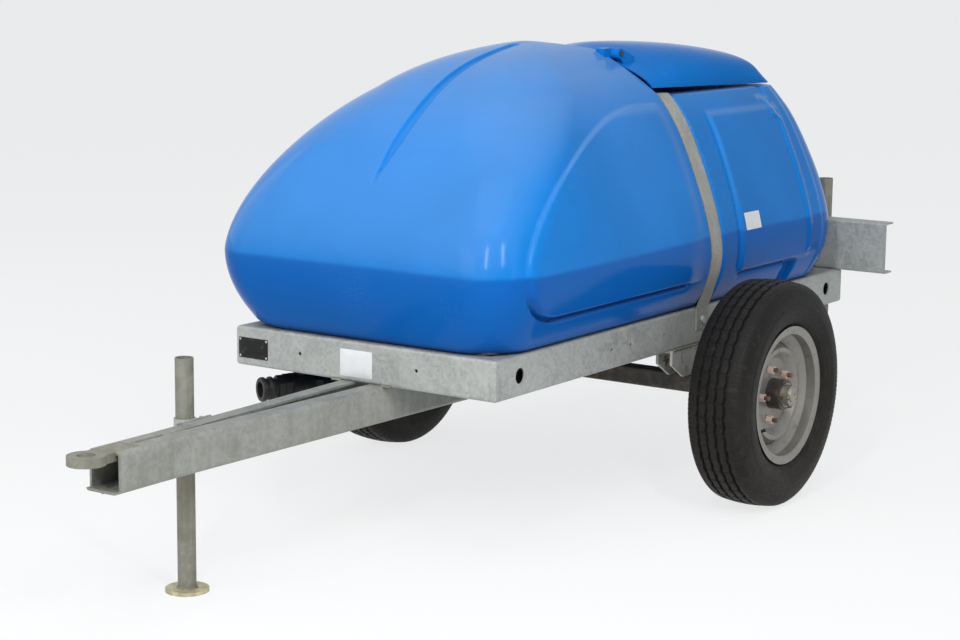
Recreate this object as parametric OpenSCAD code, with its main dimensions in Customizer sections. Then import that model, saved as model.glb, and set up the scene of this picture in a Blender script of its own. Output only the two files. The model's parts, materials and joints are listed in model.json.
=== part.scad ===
/* [Chassis] */
// Length of the frame in front of the axle
frame_front = 950; // [850:5:1050]
// Length of the frame behind the axle
frame_rear = 885; // [860:5:960]
// Overall width of the frame
frame_w = 790; // [740:5:840]
// Height of the frame's upper face above the axle
ride_h = 204; // [190:1:240]
// Height of the hollow beams
beam_h = 100; // [90:1:110]
// Width of the hollow beams
beam_w = 50; // [40:1:60]
// Wall of the hollow beams
beam_wall = 4; // [3:0.5:6]
// Outer corner radius of the hollow beams
beam_r = 8; // [7:0.5:10]
// Distance of the front bearer ahead of the axle
bearer_front_x = 330; // [250:5:420]
// Distance of the rear bearer behind the axle
bearer_rear_x = 420; // [300:5:500]
// Diameter of the lashing holes in the rails
lash_d = 38; // [25:1:50]
// Distance of the lashing holes from the rail ends
lash_inset = 100; // [80:1:140]
// Diameter of the small bolt holes in the frame
frame_hole_d = 9; // [6:0.5:14]

/* [Drawbar] */
// Distance of the tow eye's centre ahead of the axle
eye_x = 1883; // [1750:1:2000]
// Bore of the tow eye
eye_bore = 40; // [35:1:50]
// Outer diameter of the tow eye
eye_d = 84; // [78:1:100]
// Thickness of the tow eye
eye_t = 20; // [16:1:28]
// Length of the eye's tongue inside the nose
tongue_l = 90; // [60:1:120]
// Width of the eye's tongue
tongue_w = 60; // [50:1:70]
// Depth of the drawbar channels
bar_h = 90; // [80:1:110]
// Flange width of the drawbar channels
bar_flange = 45; // [42:1:60]
// Wall of the drawbar channels
bar_wall = 6; // [4:0.5:8]
// Outer corner radius of the pressed channels
bar_r = 9; // [8.5:0.5:12]
// Length of the welded nose where the channels run side by side
nose_l = 200; // [160:5:240]
// Angle at which each channel turns outwards behind the nose
spread = 2; // [1.5:0.1:2.5]
// How far the lower flanges stand out in front of the webs
nose_lip = 12; // [6:1:20]

/* [Axle and wheels] */
// Outer diameter of the tyres
tyre_d = 596; // [580:1:620]
// Section width of the tyres
tyre_w = 167; // [155:1:180]
// Diameter of the rims over their flanges
rim_d = 364; // [358:1:370]
// Gap between the tank's widest line and the tyres
tyre_gap = 63.5; // [50:0.5:90]
// Width of a rim over its flanges
rim_w = 140; // [130:1:146]
// Sheet thickness of the rims
rim_t = 4; // [3:0.5:5]
// Width and height of the square axle beam
axle_sq = 50; // [45:1:60]
// Wall of the axle beam
axle_wall = 6; // [4:0.5:8]
// Pitch circle of the wheel studs
stud_pcd = 139.7; // [130:0.1:145]
// Number of wheel studs
stud_n = 5; // [4:1:6]
// Diameter of the wheel studs
stud_d = 12; // [10:1:14]
// Width across the flats of the wheel nuts
nut_af = 19; // [17:1:22]
// Diameter of the hub barrel
hub_d = 80; // [76:1:86]
// Diameter of the hub flange
hub_flange_d = 176; // [168:1:184]
// Diameter of the stub axle at the inner bearing
stub_d = 30; // [28:1:34]
// Diameter of the stub axle at the outer bearing
stub_tip_d = 25; // [22:1:27]
// Diameter of the dust cap
cap_d = 56; // [54:1:60]
// Length of an axle bracket under the rail
bracket_l = 250; // [200:5:300]
// Plate thickness of the axle brackets
bracket_t = 8; // [6:0.5:12]

/* [Tank] */
// Height of the tank's crown above the frame
tank_h = 700; // [640:5:760]
// Height of the tank's widest line above the frame
bulge_h = 193; // [170:1:220]
// Width of the tank at its widest line
bulge_w = 916; // [880:2:960]
// Reach of the tank's nose ahead of the axle
tank_front = 1003; // [940:1:1060]
// Reach of the tank's tail behind the axle
tank_rear = 815; // [790:1:840]
// How far the foot of the tank is drawn in below the widest line
foot_inset = 66; // [50:1:80]
// Radius of the tank's upright corners
corner_r = 130; // [100:5:160]
// Radius of the upright corners where the hood meets the deck's level
hood_corner_r = 210; // [170:5:230]
// Radius of the tail's upright corners
tail_corner_r = 190; // [150:5:220]
// How far the front slopes back up to the crown
slope_run = 525; // [460:5:560]
// How far the crown levels off at the top of the slope
crown_run = 235; // [180:5:270]
// How far the tail slopes in up to the level of the crown
tail_run = 245; // [200:5:280]
// Height of the hood above the deck under the lid
hood_h = 147; // [135:1:165]
// Wall of the tank
tank_wall = 8; // [6:0.5:10]
// How far the shoulders draw in from the front to the strap
waist = 58; // [40:1:65]
// Height of the raised panels on the sides
panel_h = 8; // [4:0.5:12]
// Depth of the tapered groove up the front
crease_d = 9; // [5:0.5:14]
// Half width of the tapered groove at its top
crease_w = 24; // [18:1:30]

/* [Strap] */
// Width of the tank strap
strap_w = 60; // [50:1:70]
// Thickness of the tank strap
strap_t = 4; // [3:0.5:5]
// Depth of the groove that the strap lies in
strap_groove = 10; // [6:1:14]
// Distance of the strap's middle behind the axle
strap_x = 24; // [15:1:40]

/* [Lid and filler] */
// Length of the lid behind its hinge edge
lid_l = 690; // [640:5:700]
// Width of the lid
lid_w = 510; // [480:2:520]
// Height of the lid's crown above the deck
lid_h = 134; // [125:1:140]
// Wall of the lid
lid_wall = 5; // [4:0.5:6]
// Gap between the lid's rim and the deck
lid_gap = 15; // [12:1:18]
// Diameter of the lid's hinge pins
hinge_d = 10; // [8:1:12]
// Distance of the filler behind the axle
filler_x = 330; // [300:5:360]
// Bore of the filler neck
filler_bore = 220; // [150:5:230]
// Height of the filler neck above the deck
filler_h = 50; // [40:1:55]
// Height of the filler cap's skirt
cap_skirt = 34; // [28:1:36]

/* [Outlet] */
// Distance of the outlet's drop pipe ahead of the axle
outlet_x = 645; // [620:1:700]
// Distance of the outlet's drop pipe to the right of the centre
outlet_y = 183; // [170:1:210]
// Drop of the outlet's middle below the top of the frame
outlet_drop = 162; // [157:1:172]
// Angle of the outlet to the right of straight ahead
outlet_turn = 28; // [20:1:36]
// Outer diameter of the outlet pipe
pipe_d = 60; // [56:1:62]
// Bore of the outlet pipe
pipe_bore = 40; // [36:1:44]
// Length of the valve lever from its stem
lever_l = 115; // [100:1:130]

/* [Prop stands] */
// Outer diameter of the prop tubes
prop_d = 42.4; // [40:0.1:44]
// Wall of the prop tubes
prop_wall = 3.2; // [2.5:0.1:4]
// Wall of the prop sleeves
sleeve_wall = 4; // [3:0.5:6]
// Distance of the front prop ahead of the axle
prop_x = 1494; // [1440:1:1540]
// Length of the front prop
prop_l = 540; // [520:1:620]
// Diameter of the front prop's foot
foot_d = 100; // [90:1:120]
// Thickness of the prop feet
foot_t = 8; // [6:0.5:12]
// Length of the rear props
rear_prop_l = 600; // [560:5:640]
// Height of the raised rear props' feet above the ground
rear_prop_lift = 165; // [140:5:200]
// Diameter of the rear props' feet
rear_foot_d = 80; // [70:1:90]
// Distance between the middles of the rear props
rear_prop_span = 640; // [600:2:660]

/* [Rear channel] */
// Height of the rear cross channel
channel_h = 150; // [130:1:160]
// Flange width of the rear cross channel
channel_flange = 50; // [40:1:55]
// Wall of the rear cross channel
channel_wall = 5; // [4:0.5:6]
// Length of the rear cross channel
channel_l = 1098; // [1000:2:1200]

/* [Clearances] */
// Radial running clearance of shafts and pins
run_gap = 0.05; // [0.02:0.01:0.1]
// Gap between parts that move past one another
free_gap = 0.5; // [0.3:0.1:1]

/* [Hidden] */
$fn = 64;
galvanised = "silver";
tank_blue = "royalblue";
black = "dimgray";
axle_h = tyre_d / 2;
frame_top = axle_h + ride_h;
frame_bottom = frame_top - beam_h;
half_w = frame_w / 2;

// The part's origin lies under the middle of its length
sleeve_r = prop_d / 2 + run_gap + sleeve_wall;
sleeve_pad = 6;
sleeve_sink = 3;
rear_prop_x = frame_rear + sleeve_pad + sleeve_r - sleeve_sink;
rear_reach = rear_prop_x + rear_foot_d / 2;
nose_reach = eye_x + eye_d / 2;
axle_x = (rear_reach - nose_reach) / 2;

function clamp(v, low, high) = min(max(v, low), high);
function smooth(a, b, v) = let (t = clamp((v - a) / (b - a), 0, 1)) t * t * (3 - 2 * t);
function mix(a, b, t) = a + (b - a) * t;

module place() {
    translate([axle_x, 0, 0]) children();
}

module mirrored() {
    mirror([0, 1, 0]) children();
}

// Rounded rectangle and the wall of a hollow section
module rounded(w, h, r) {
    square([w - 2 * r, h], center = true);
    square([w, h - 2 * r], center = true);
    for (sx = [-1, 1])
        for (sy = [-1, 1])
            translate([sx * (w / 2 - r), sy * (h / 2 - r)]) circle(r = r);
}

module hollow(w, h, t, r) {
    difference() {
        rounded(w, h, r);
        rounded(w - 2 * t, h - 2 * t, r - t);
    }
}

// Pressed channel with its web on the right-hand side
module channel_section(flange, h, t, r) {
    difference() {
        translate([-flange, 0]) rounded(2 * flange, h, r);
        translate([-flange, 0]) rounded(2 * (flange - t), h - 2 * t, r - t);
        translate([-3 * flange, -h]) square([2 * flange, 2 * h]);
    }
}

// Extrusions along the vehicle's axes from sections drawn across and up
module along_x(from, to) {
    translate([from, 0, 0]) rotate([90, 0, 90]) linear_extrude(to - from) children();
}

module along_y(from, to) {
    translate([0, to, 0]) rotate([90, 0, 0]) linear_extrude(to - from) children();
}

module rod_x(d, from, to) {
    translate([from, 0, 0]) rotate([0, 90, 0]) cylinder(d = d, h = to - from);
}

module rod_y(d, from, to) {
    translate([0, from, 0]) rotate([-90, 0, 0]) cylinder(d = d, h = to - from);
}

// Chassis frame of mitred hollow beams
beam_z = frame_bottom + beam_h / 2;

module mitre_plan(points) {
    translate([0, 0, frame_bottom - 1]) linear_extrude(beam_h + 2) polygon(points);
}

module crossmember(outer, inner) {
    low = min(outer, inner);
    intersection() {
        translate([low + beam_w / 2, 0, beam_z])
            along_y(-half_w, half_w) hollow(beam_w, beam_h, beam_wall, beam_r);
        mitre_plan([
            [outer, half_w], [outer, -half_w],
            [inner, -half_w + beam_w], [inner, half_w - beam_w]
        ]);
    }
}

// Small holes along the front member, to the left of the centre
front_holes = [165, -191];

module front_crossmember() {
    color(galvanised) place() difference() {
        crossmember(frame_front, frame_front - beam_w);
        for (y = front_holes)
            translate([0, y, beam_z])
                rod_x(frame_hole_d, frame_front - beam_wall - 1, frame_front + 1);
    }
}

module rear_crossmember() {
    color(galvanised) place() crossmember(-frame_rear, -frame_rear + beam_w);
}

// Small holes along a rail, ahead of the axle
rail_holes = [433, 342, 172];

module rail() {
    difference() {
        intersection() {
            translate([0, half_w - beam_w / 2, beam_z])
                along_x(-frame_rear, frame_front) hollow(beam_w, beam_h, beam_wall, beam_r);
            mitre_plan([
                [frame_front, half_w], [frame_front - beam_w, half_w - beam_w],
                [-frame_rear + beam_w, half_w - beam_w], [-frame_rear, half_w]
            ]);
        }
        for (x = [frame_front - lash_inset, -frame_rear + lash_inset])
            translate([x, 0, beam_z]) rod_y(lash_d, half_w - beam_wall - 1, half_w + 1);
        for (x = rail_holes)
            translate([x, 0, beam_z]) rod_y(frame_hole_d, half_w - beam_wall - 1, half_w + 1);
        translate([-strap_x, 0, strap_bolt_z])
            rod_y(strap_bolt_d, half_w - beam_wall - 1, half_w + 1);
    }
}

module rail_left() {
    color(galvanised) place() rail();
}

module rail_right() {
    color(galvanised) place() mirrored() rail();
}

module bearer(x) {
    inner = half_w - beam_w;
    translate([x, 0, beam_z]) along_y(-inner, inner) hollow(beam_w, beam_h, beam_wall, beam_r);
}

module bearer_front() {
    color(galvanised) place() bearer(bearer_front_x);
}

module bearer_rear() {
    color(galvanised) place() bearer(-bearer_rear_x);
}

// Drawbar of two channels, welded toe to toe at the nose and spread behind it
bar_z = frame_bottom - bar_h / 2;
nose_x = eye_x - eye_d / 2;
kink_x = nose_x - nose_l;
bar_end = bearer_front_x - beam_w / 2;

function bar_half(x) = bar_flange + max(kink_x - x, 0) * tan(spread);

// Section of a drawbar channel as a line from its upper toe round the web to its lower toe
bar_turns = [90, 60, 30, 0];

function bar_line(inset) = concat(
    [[-bar_flange, bar_h / 2 - inset]],
    [for (a = bar_turns) [-bar_r, bar_h / 2 - bar_r] + (bar_r - inset) * [cos(a), sin(a)]],
    [for (a = backwards(bar_turns)) [-bar_r, bar_r - bar_h / 2] + (bar_r - inset) * [cos(a), -sin(a)]],
    [[-bar_flange, inset - bar_h / 2]]
);

// Where a point of the section comes to at the nose, at the mitred kink and at the rear end
function at_nose(p) = [nose_x, bar_flange + p[0], bar_z + p[1]];
function at_kink(p) = [kink_x + p[0] * tan(spread / 2), bar_flange + p[0], bar_z + p[1]];
function at_rear(p) = [bar_end, bar_half(bar_end) + p[0] / cos(spread), bar_z + p[1]];

module drawbar_channel() {
    section = concat(bar_line(0), backwards(bar_line(bar_wall)));
    difference() {
        shell_loft([
            [for (p = section) at_nose(p)],
            [for (p = section) at_kink(p)],
            [for (p = section) at_rear(p)]
        ]);
        translate([nose_x - nose_lip, -bar_flange, frame_bottom - bar_h + bar_wall])
            cube([2 * nose_lip, 3 * bar_flange, bar_h]);
        translate([nose_x - tongue_l, -1, frame_bottom - eye_t])
            cube([2 * tongue_l, tongue_w / 2 + 1, 2 * eye_t]);
    }
}

module drawbar_left() {
    color(galvanised) place() drawbar_channel();
}

module drawbar_right() {
    color(galvanised) place() mirrored() drawbar_channel();
}

module tow_eye() {
    color(galvanised) place() translate([0, 0, frame_bottom - eye_t]) difference() {
        union() {
            translate([eye_x, 0, 0]) cylinder(d = eye_d, h = eye_t);
            translate([nose_x - tongue_l, -tongue_w / 2, 0])
                cube([eye_x - nose_x + tongue_l, tongue_w, eye_t]);
        }
        translate([eye_x, 0, -1]) cylinder(d = eye_bore, h = eye_t + 2);
    }
}

// Axle beam, its stand-off brackets and the stub axles
disc_offset = 15;
hub_l = 68;
hub_nose_l = 45;
rim_mid = bulge_w / 2 + tyre_gap + tyre_w / 2;
rim_edge = rim_mid + rim_w / 2;
hub_face = rim_mid + disc_offset;
hub_back = hub_face - hub_l;
hub_nose = hub_face + hub_nose_l;
inner_brg_d = 62;
inner_brg_w = 16;
outer_brg_d = 52;
outer_brg_w = 15;
brg_lip = 4;
nut_l = 12;
axle_end = hub_back - 7;
axle_top = axle_h + axle_sq / 2;

module at_axle() {
    translate([axle_x, 0, axle_h]) rotate([-90, 0, 0]) children();
}

module axle_beam() {
    color(black) place() translate([0, 0, axle_h])
        along_y(-axle_end, axle_end) hollow(axle_sq, axle_sq, axle_wall, axle_wall + 1);
}

module axle_bracket() {
    stand = frame_bottom - axle_top;
    half_l = bracket_l / 2;
    chamfer = bracket_l / 4;
    for (y = [half_w - beam_w, half_w - bracket_t])
        translate([0, 0, axle_top]) along_y(y, y + bracket_t) polygon([
            [-half_l, stand], [-half_l, stand / 2], [-half_l + chamfer, 0],
            [half_l - chamfer, 0], [half_l, stand / 2], [half_l, stand]
        ]);
    translate([-half_l, half_w - beam_w + bracket_t, frame_bottom - bracket_t])
        cube([bracket_l, beam_w - 2 * bracket_t, bracket_t]);
}

module axle_bracket_left() {
    color(galvanised) place() axle_bracket();
}

module axle_bracket_right() {
    color(galvanised) place() mirrored() axle_bracket();
}

inner_brg_y = hub_back + brg_lip;
outer_brg_y = hub_nose - brg_lip - outer_brg_w;

module stub_axle() {
    shoulder = stub_d + 14;
    at_axle() {
        translate([0, 0, axle_end]) cylinder(d = shoulder, h = inner_brg_y - axle_end - free_gap);
        translate([0, 0, axle_end]) cylinder(d = stub_d, h = inner_brg_y + inner_brg_w + 4 - axle_end);
        translate([0, 0, axle_end])
            cylinder(d = stub_tip_d, h = outer_brg_y + outer_brg_w + nut_l + 4 - axle_end);
    }
}

module stub_axle_left() {
    color("gray") stub_axle();
}

module stub_axle_right() {
    color("gray") mirrored() stub_axle();
}

module spindle_nut() {
    at_axle() translate([0, 0, outer_brg_y + outer_brg_w + free_gap]) difference() {
        cylinder(d = stub_tip_d + 14, h = nut_l, $fn = 6);
        translate([0, 0, -1]) cylinder(d = stub_tip_d, h = nut_l + 2);
    }
}

module spindle_nut_left() {
    color("gray") spindle_nut();
}

module spindle_nut_right() {
    color("gray") mirrored() spindle_nut();
}

// Tyre section: sidewall arcs, a crowned tread and grooves round it
tread_half = tyre_w * 0.36;
groove_w = 8;
groove_d = 8;
tread_grooves = [-0.62, -0.21, 0.21, 0.62];
crown_drop = 5;
bead_r = rim_d / 2 - 17;
bead_half = rim_w / 2 - 6;
tyre_wall = 9;
bead_w = 14;

function tread_r(v) = tyre_d / 2 - crown_drop * pow(v / tread_half, 2);

// The sidewall starts above the rim's flange, and the bead below it stands inside the flange
wall_bulge = 26;
bead_top = rim_d / 2 + 1;

function sidewall(inset, side) = [
    for (a = [-70:10:70])
        let (
            mid = (tread_r(tread_half) + bead_top) / 2,
            tall = (tread_r(tread_half) - bead_top) / 2 - inset,
            base = tyre_w / 2 - wall_bulge
        )
        [mid + tall * sin(a), side * (base + (wall_bulge - inset) * cos(a))]
];

function tread_points() = [
    for (g = tread_grooves)
        let (v = g * tread_half, low = v - groove_w / 2, high = v + groove_w / 2)
        each [
            [tread_r(low), low], [tread_r(low) - groove_d, low],
            [tread_r(high) - groove_d, high], [tread_r(high), high]
        ]
];

function backwards(list) = [for (i = [len(list) - 1:-1:0]) list[i]];

module tyre() {
    bead_toe = bead_half - bead_w;
    heel = bead_half - free_gap;
    seat = bead_r + run_gap;
    at_axle() translate([0, 0, rim_mid]) rotate_extrude() polygon(concat(
        [[seat, -bead_toe], [seat, -heel], [bead_top, -heel]],
        sidewall(0, -1),
        [[tread_r(tread_half), -tread_half]],
        tread_points(),
        [[tread_r(tread_half), tread_half]],
        backwards(sidewall(0, 1)),
        [[bead_top, heel], [seat, heel], [seat, bead_toe]],
        sidewall(tyre_wall, 1),
        backwards(sidewall(tyre_wall, -1))
    ));
}

module tyre_left() {
    color("black") tyre();
}

module tyre_right() {
    color("black") mirrored() tyre();
}

// Steel wheel: a drop-centre rim with a dished disc
well_r = bead_r - 25;
disc_t = 6;
disc_in = hub_face - rim_mid;
spigot_r = hub_d / 2;

function rim_line(inset) = [
    [rim_d / 2 - inset, -rim_w / 2], [bead_r - inset, -bead_half - inset / 2],
    [bead_r - inset, -bead_half + 26 + inset / 2], [well_r - inset, -26 + inset / 2],
    [well_r - inset, 22 - inset / 2], [bead_r - inset, bead_half - 22 - inset / 2],
    [bead_r - inset, bead_half + inset / 2], [rim_d / 2 - inset, rim_w / 2]
];

land_r = stud_pcd / 2 + 24;
dish_run = 16;
dish_h = 18;
dish_top = 12;
disc_drop = 4;

function disc_line(lift) = [
    [spigot_r + run_gap, disc_in + lift], [land_r, disc_in + lift],
    [land_r + dish_run, disc_in + dish_h + lift], [land_r + dish_run + dish_top, disc_in + dish_h + lift],
    [well_r - rim_t, disc_in - disc_drop + lift]
];

module rim() {
    difference() {
        at_axle() difference() {
            translate([0, 0, rim_mid]) union() {
                rotate_extrude() polygon(concat(rim_line(0), backwards(rim_line(rim_t))));
                rotate_extrude() polygon(concat(disc_line(0), backwards(disc_line(disc_t))));
            }
            for (i = [0:stud_n - 1])
                rotate([0, 0, 360 * i / stud_n]) translate([stud_pcd / 2, 0, 0])
                    cylinder(d = stud_d + 2, h = rim_edge);
        }
        valve_at() cylinder(d = tyre_valve_d, h = 4 * tyre_valve_l, center = true);
    }
}

module rim_left() {
    color("darkgray") rim();
}

module rim_right() {
    color("darkgray") mirrored() rim();
}

tyre_valve_d = 12;
tyre_valve_l = 34;
tyre_valve_turn = 36;

// The valve stands in the slope between the rim's well and its outer bead seat
module valve_at() {
    at_axle() rotate([0, 0, tyre_valve_turn])
        translate([(well_r + bead_r - rim_t) / 2, 0, rim_mid + (22 + bead_half - 22) / 2]) rotate([0, -40, 0])
            children();
}

module tyre_valve() {
    valve_at() {
        translate([0, 0, -8]) cylinder(d = tyre_valve_d, h = 20);
        cylinder(d = tyre_valve_d * 0.7, h = tyre_valve_l);
    }
}

module tyre_valve_left() {
    color("black") tyre_valve();
}

module tyre_valve_right() {
    color("black") mirrored() tyre_valve();
}

// Hub with bearing seats, flange, studs, nuts and dust cap
hub_flange_t = 12;
hub_mid_d = 46;

module hub() {
    at_axle() difference() {
        union() {
            translate([0, 0, hub_back]) cylinder(d = hub_d, h = hub_nose - hub_back);
            translate([0, 0, hub_face - hub_flange_t]) cylinder(d = hub_flange_d, h = hub_flange_t);
        }
        translate([0, 0, hub_back - 1]) cylinder(d = hub_mid_d, h = hub_nose - hub_back + 2);
        translate([0, 0, hub_back - 1]) cylinder(d = inner_brg_d, h = brg_lip + inner_brg_w + 1);
        translate([0, 0, outer_brg_y]) cylinder(d = outer_brg_d, h = hub_nose);
        stud_ring() cylinder(d = stud_d, h = hub_face);
    }
}

module stud_ring() {
    for (i = [0:stud_n - 1])
        rotate([0, 0, 360 * i / stud_n]) translate([stud_pcd / 2, 0, 0]) children();
}

module hub_left() {
    color(black) hub();
}

module hub_right() {
    color(black) mirrored() hub();
}

module bearing(d, bore, w, y) {
    translate([0, 0, y]) difference() {
        cylinder(d = d, h = w);
        translate([0, 0, -1]) cylinder(d = bore + 2 * run_gap, h = w + 2);
    }
}

module bearings() {
    at_axle() {
        bearing(inner_brg_d, stub_d, inner_brg_w, inner_brg_y);
        bearing(outer_brg_d, stub_tip_d, outer_brg_w, outer_brg_y);
    }
}

module bearings_left() {
    color("lightgray") bearings();
}

module bearings_right() {
    color("lightgray") mirrored() bearings();
}

stud_back = 5;
stud_l = 34;
nut_h = 15;

module wheel_studs() {
    at_axle() stud_ring() {
        translate([0, 0, hub_face - hub_flange_t]) cylinder(d = stud_d, h = hub_flange_t + stud_l);
        translate([0, 0, hub_face - hub_flange_t - stud_back]) cylinder(d = stud_d + 6, h = stud_back);
    }
}

module wheel_studs_left() {
    color("sienna") wheel_studs();
}

module wheel_studs_right() {
    color("sienna") mirrored() wheel_studs();
}

module wheel_nuts() {
    at_axle() stud_ring() translate([0, 0, hub_face + disc_t]) difference() {
        cylinder(d = nut_af / cos(30), h = nut_h, $fn = 6);
        translate([0, 0, -1]) cylinder(d = stud_d, h = nut_h + 2);
    }
}

module wheel_nuts_left() {
    color("rosybrown") wheel_nuts();
}

module wheel_nuts_right() {
    color("rosybrown") mirrored() wheel_nuts();
}

cap_l = 26;
cap_wall = 2;

// Pressed dust cap that closes the hub's nose over the spindle nut
module dust_cap() {
    r = cap_d / 2;
    at_axle() translate([0, 0, hub_nose]) rotate_extrude() polygon([
        [0, cap_l], [r - 6, cap_l], [r, cap_l - 6], [r, 4], [r + 4, 4], [r + 4, 0],
        [r - cap_wall, 0], [r - cap_wall, cap_l - 7], [r - 7, cap_l - cap_wall], [0, cap_l - cap_wall]
    ]);
}

module dust_cap_left() {
    color("slategray") dust_cap();
}

module dust_cap_right() {
    color("slategray") mirrored() dust_cap();
}

// Tank: level rings stacked from the foot to the crown
tank_top = frame_top + tank_h;
bulge_z = frame_top + bulge_h;
deck_h = tank_h - hood_h;
deck_z = frame_top + deck_h;
bulge_half = bulge_w / 2;
foot_round = 16;
hood_x = 12;
lip_h = 22;
hood_rise = hood_h - lip_h;
hood_run = 75;
lip_run = 150;

function rise(z) = clamp((z - bulge_z) / (tank_top - bulge_z), 0, 1);
function sink(z) = clamp((bulge_z - z) / bulge_h, 0, 1);
function foot(z) = foot_inset * pow(sink(z), 2) + foot_round * pow(clamp(1 - (z - frame_top) / foot_round, 0, 1), 2);
function tank_half(z) = bulge_half * sqrt(1 - pow(rise(z), 2)) - foot(z);
function nose_at(z) = tank_front - slope_run * pow(rise(z), 1.7) - crown_run * pow(rise(z), 14) - foot(z);
function tail_at(z) = -tank_rear + tail_run * pow(rise(z), 1.7) + foot(z);

// Raked face at the back of the hood, which rolls over into the crown
function hood_back(z) =
    let (edge = deck_z + hood_rise)
    hood_x - 5 + hood_run * clamp((z - deck_z) / hood_rise, 0, 1)
    + lip_run * clamp((z - edge) / (tank_top - edge), 0, 1);

// The shoulders draw in towards the strap and stay in along the tail
waist_low = 150;
waist_high = 240;
waist_start = 700;

function tail_drop(z) =
    waist * smooth(bulge_z - waist_low, bulge_z + waist_high, z) * (1 - rise(z) / 4)
    * clamp(tank_half(z) / (bulge_half / 2), 0, 1);
function waist_at(x, z) = tail_drop(z) * (1 - smooth(0, waist_start, x));

// Raised side panel of the hood: its front edge is a quarter ellipse above the widest line
panel_x = 150;
panel_inset = 98;
panel_reach = tank_front - panel_inset - panel_x;
panel_head = 8;
panel_rise = deck_h - bulge_h - panel_head;
panel_corner = 140;
panel_back = 62;
panel_fall = 123;
panel_edge = 9;
panel_cap = 14;
swage = 22;
panel_foot = 84;
panel_foot_z = frame_top + panel_foot;

function bow(t) = sqrt(1 - pow(clamp(t, 0, 0.999), 2));
function panel_front(z) = z > bulge_z
    ? panel_x + panel_reach * bow((z - bulge_z) / panel_rise)
    : panel_x + panel_reach - panel_corner * (1 - bow((bulge_z - z) / panel_fall));

function side_panel(x, z) =
    panel_h * smooth(panel_front(z) + panel_edge, panel_front(z) - panel_edge, x)
    * smooth(panel_back - panel_edge, panel_back + panel_edge, x)
    * smooth(panel_foot_z - swage / 2, panel_foot_z + swage / 2, z)
    * smooth(deck_z, deck_z - panel_cap, z);

// Raised panel on the tail between its swages
tail_panel = [-168, -530];

function tail_raise(x, z) =
    panel_h * smooth(tail_panel[0], tail_panel[0] - swage, x)
    * smooth(panel_foot_z - swage / 2, panel_foot_z + swage / 2, z)
    - panel_h * smooth(tail_panel[1], tail_panel[1] - swage, x);

groove_fore = -strap_x + strap_w / 2 + 2;
groove_aft = -strap_x - strap_w / 2 - 2;

function side_depth(x, z) =
    x > groove_fore + 1 ? waist_at(x, z) - side_panel(x, z)
    : x > groove_aft - 1 ? tail_drop(z) + strap_groove
    : tail_drop(z) - tail_raise(x, z);

// Tapered groove up the front, cut square to the slope
crease_foot = 0.37;

function crease_half(z) = crease_w * clamp((rise(z) - crease_foot) / (0.9 - crease_foot), 0.3, 1);
function crease_at(z) =
    let (run = (nose_at(z + 1) - nose_at(z - 1)) / 2)
    crease_d * smooth(crease_foot, 0.75, rise(z)) * min(sqrt(1 + run * run), 6);

// Stations round half a ring
face_steps = [0, 0.5, 1, 1.4];
brow_n = 4;
corner_n = 6;
side_n = 14;
tail_stations = [
    groove_fore, groove_aft, groove_aft - 4, tail_panel[0], tail_panel[0] - swage,
    mix(tail_panel[0], tail_panel[1], 0.4), mix(tail_panel[0], tail_panel[1], 0.7),
    tail_panel[1], tail_panel[1] - swage
];
tail_corner_x = tail_panel[1] - 2 * swage;
tail_corner_n = 5;
back_n = 3;
aft_n = len(tail_stations) + tail_corner_n + back_n;

function arc(mid, r, from, to, n) = [
    for (i = [0:n - 1])
        let (a = mix(from, to, i / (n - 1)))
        mid + r * [cos(a), sin(a)]
];

// Half a ring from the middle of the nose along the left side to the middle of the tail
function ring_half(z, inset, hood) =
    let (
        plain = inset > 0,
        w = tank_half(z) - inset,
        nose = nose_at(z) - inset,
        tail = tail_at(z) + inset,
        back = hood_back(z) + inset,
        full_r = mix(corner_r, hood_corner_r, rise(z) / rise(deck_z)),
        r = min(full_r, 0.75 * w, hood ? 0.8 * (nose - back) : full_r),
        cut = plain ? 0 : min(crease_at(z), hood ? 0.5 * (nose - back) : crease_w * 4),
        groove = crease_half(z),
        face = [for (s = face_steps) [nose - (s < 0.8 ? cut : 0), min(s, 0.12 * w / groove * s) * groove]],
        brow_y = face[3][1],
        brow = [for (i = [1:brow_n]) [nose, mix(brow_y, w - r, i / (brow_n + 1))]],
        side_end = hood ? back : hood_x + inset,
        edge = clamp(panel_front(z), mix(side_end, nose, 0.2), mix(side_end, nose, 0.9)),
        soft = min(panel_edge, 0.02 * (nose - side_end)),
        rear_edge = max(panel_back, side_end + 2 * soft),
        edge_out = edge + soft,
        edge_in = edge - soft,
        turn_end = acos(clamp((edge_out + soft - nose + r) / r, 0, 1)),
        round = arc([nose - r, w - r], r, 0, turn_end, corner_n),
        turn = [for (p = round) p - [0, waist_at(p[0], z) * (p[1] - w + r) / r]],
        turn_x = nose - r + r * cos(turn_end),
        side_x = concat(
            [for (i = [1:4]) mix(turn_x, edge_out, i / 4)],
            [for (i = [0:6]) mix(edge_in, rear_edge + soft, i / 6)],
            [rear_edge - soft, mix(rear_edge - soft, side_end, 0.5), side_end]
        ),
        side = [
            for (x = side_x)
                let (over = max(x - nose + r, 0))
                [x, w - r + sqrt(r * r - over * over) - (plain || hood ? waist_at(x, z) : side_depth(x, z))]
        ],
        side_y = side[side_n - 1][1],
        drop = plain ? tail_drop(z) + strap_groove : tail_drop(z) - tail_raise(tail_corner_x, z),
        tail_r = min(tail_corner_r, tail_corner_x - tail),
        tail_y = w - drop - tail_r,
        flank = [for (x = tail_stations) [x, w - (plain ? drop : side_depth(x, z))]],
        aft = hood
            ? [for (i = [1:aft_n]) [back, side_y * (1 - i / aft_n)]]
            : concat(
                flank,
                arc([tail + tail_r, tail_y], tail_r, 90, 180, tail_corner_n),
                [for (i = [1:back_n]) [tail, tail_y * (1 - i / back_n)]]
            )
    )
    concat(face, brow, turn, side, aft);

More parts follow.
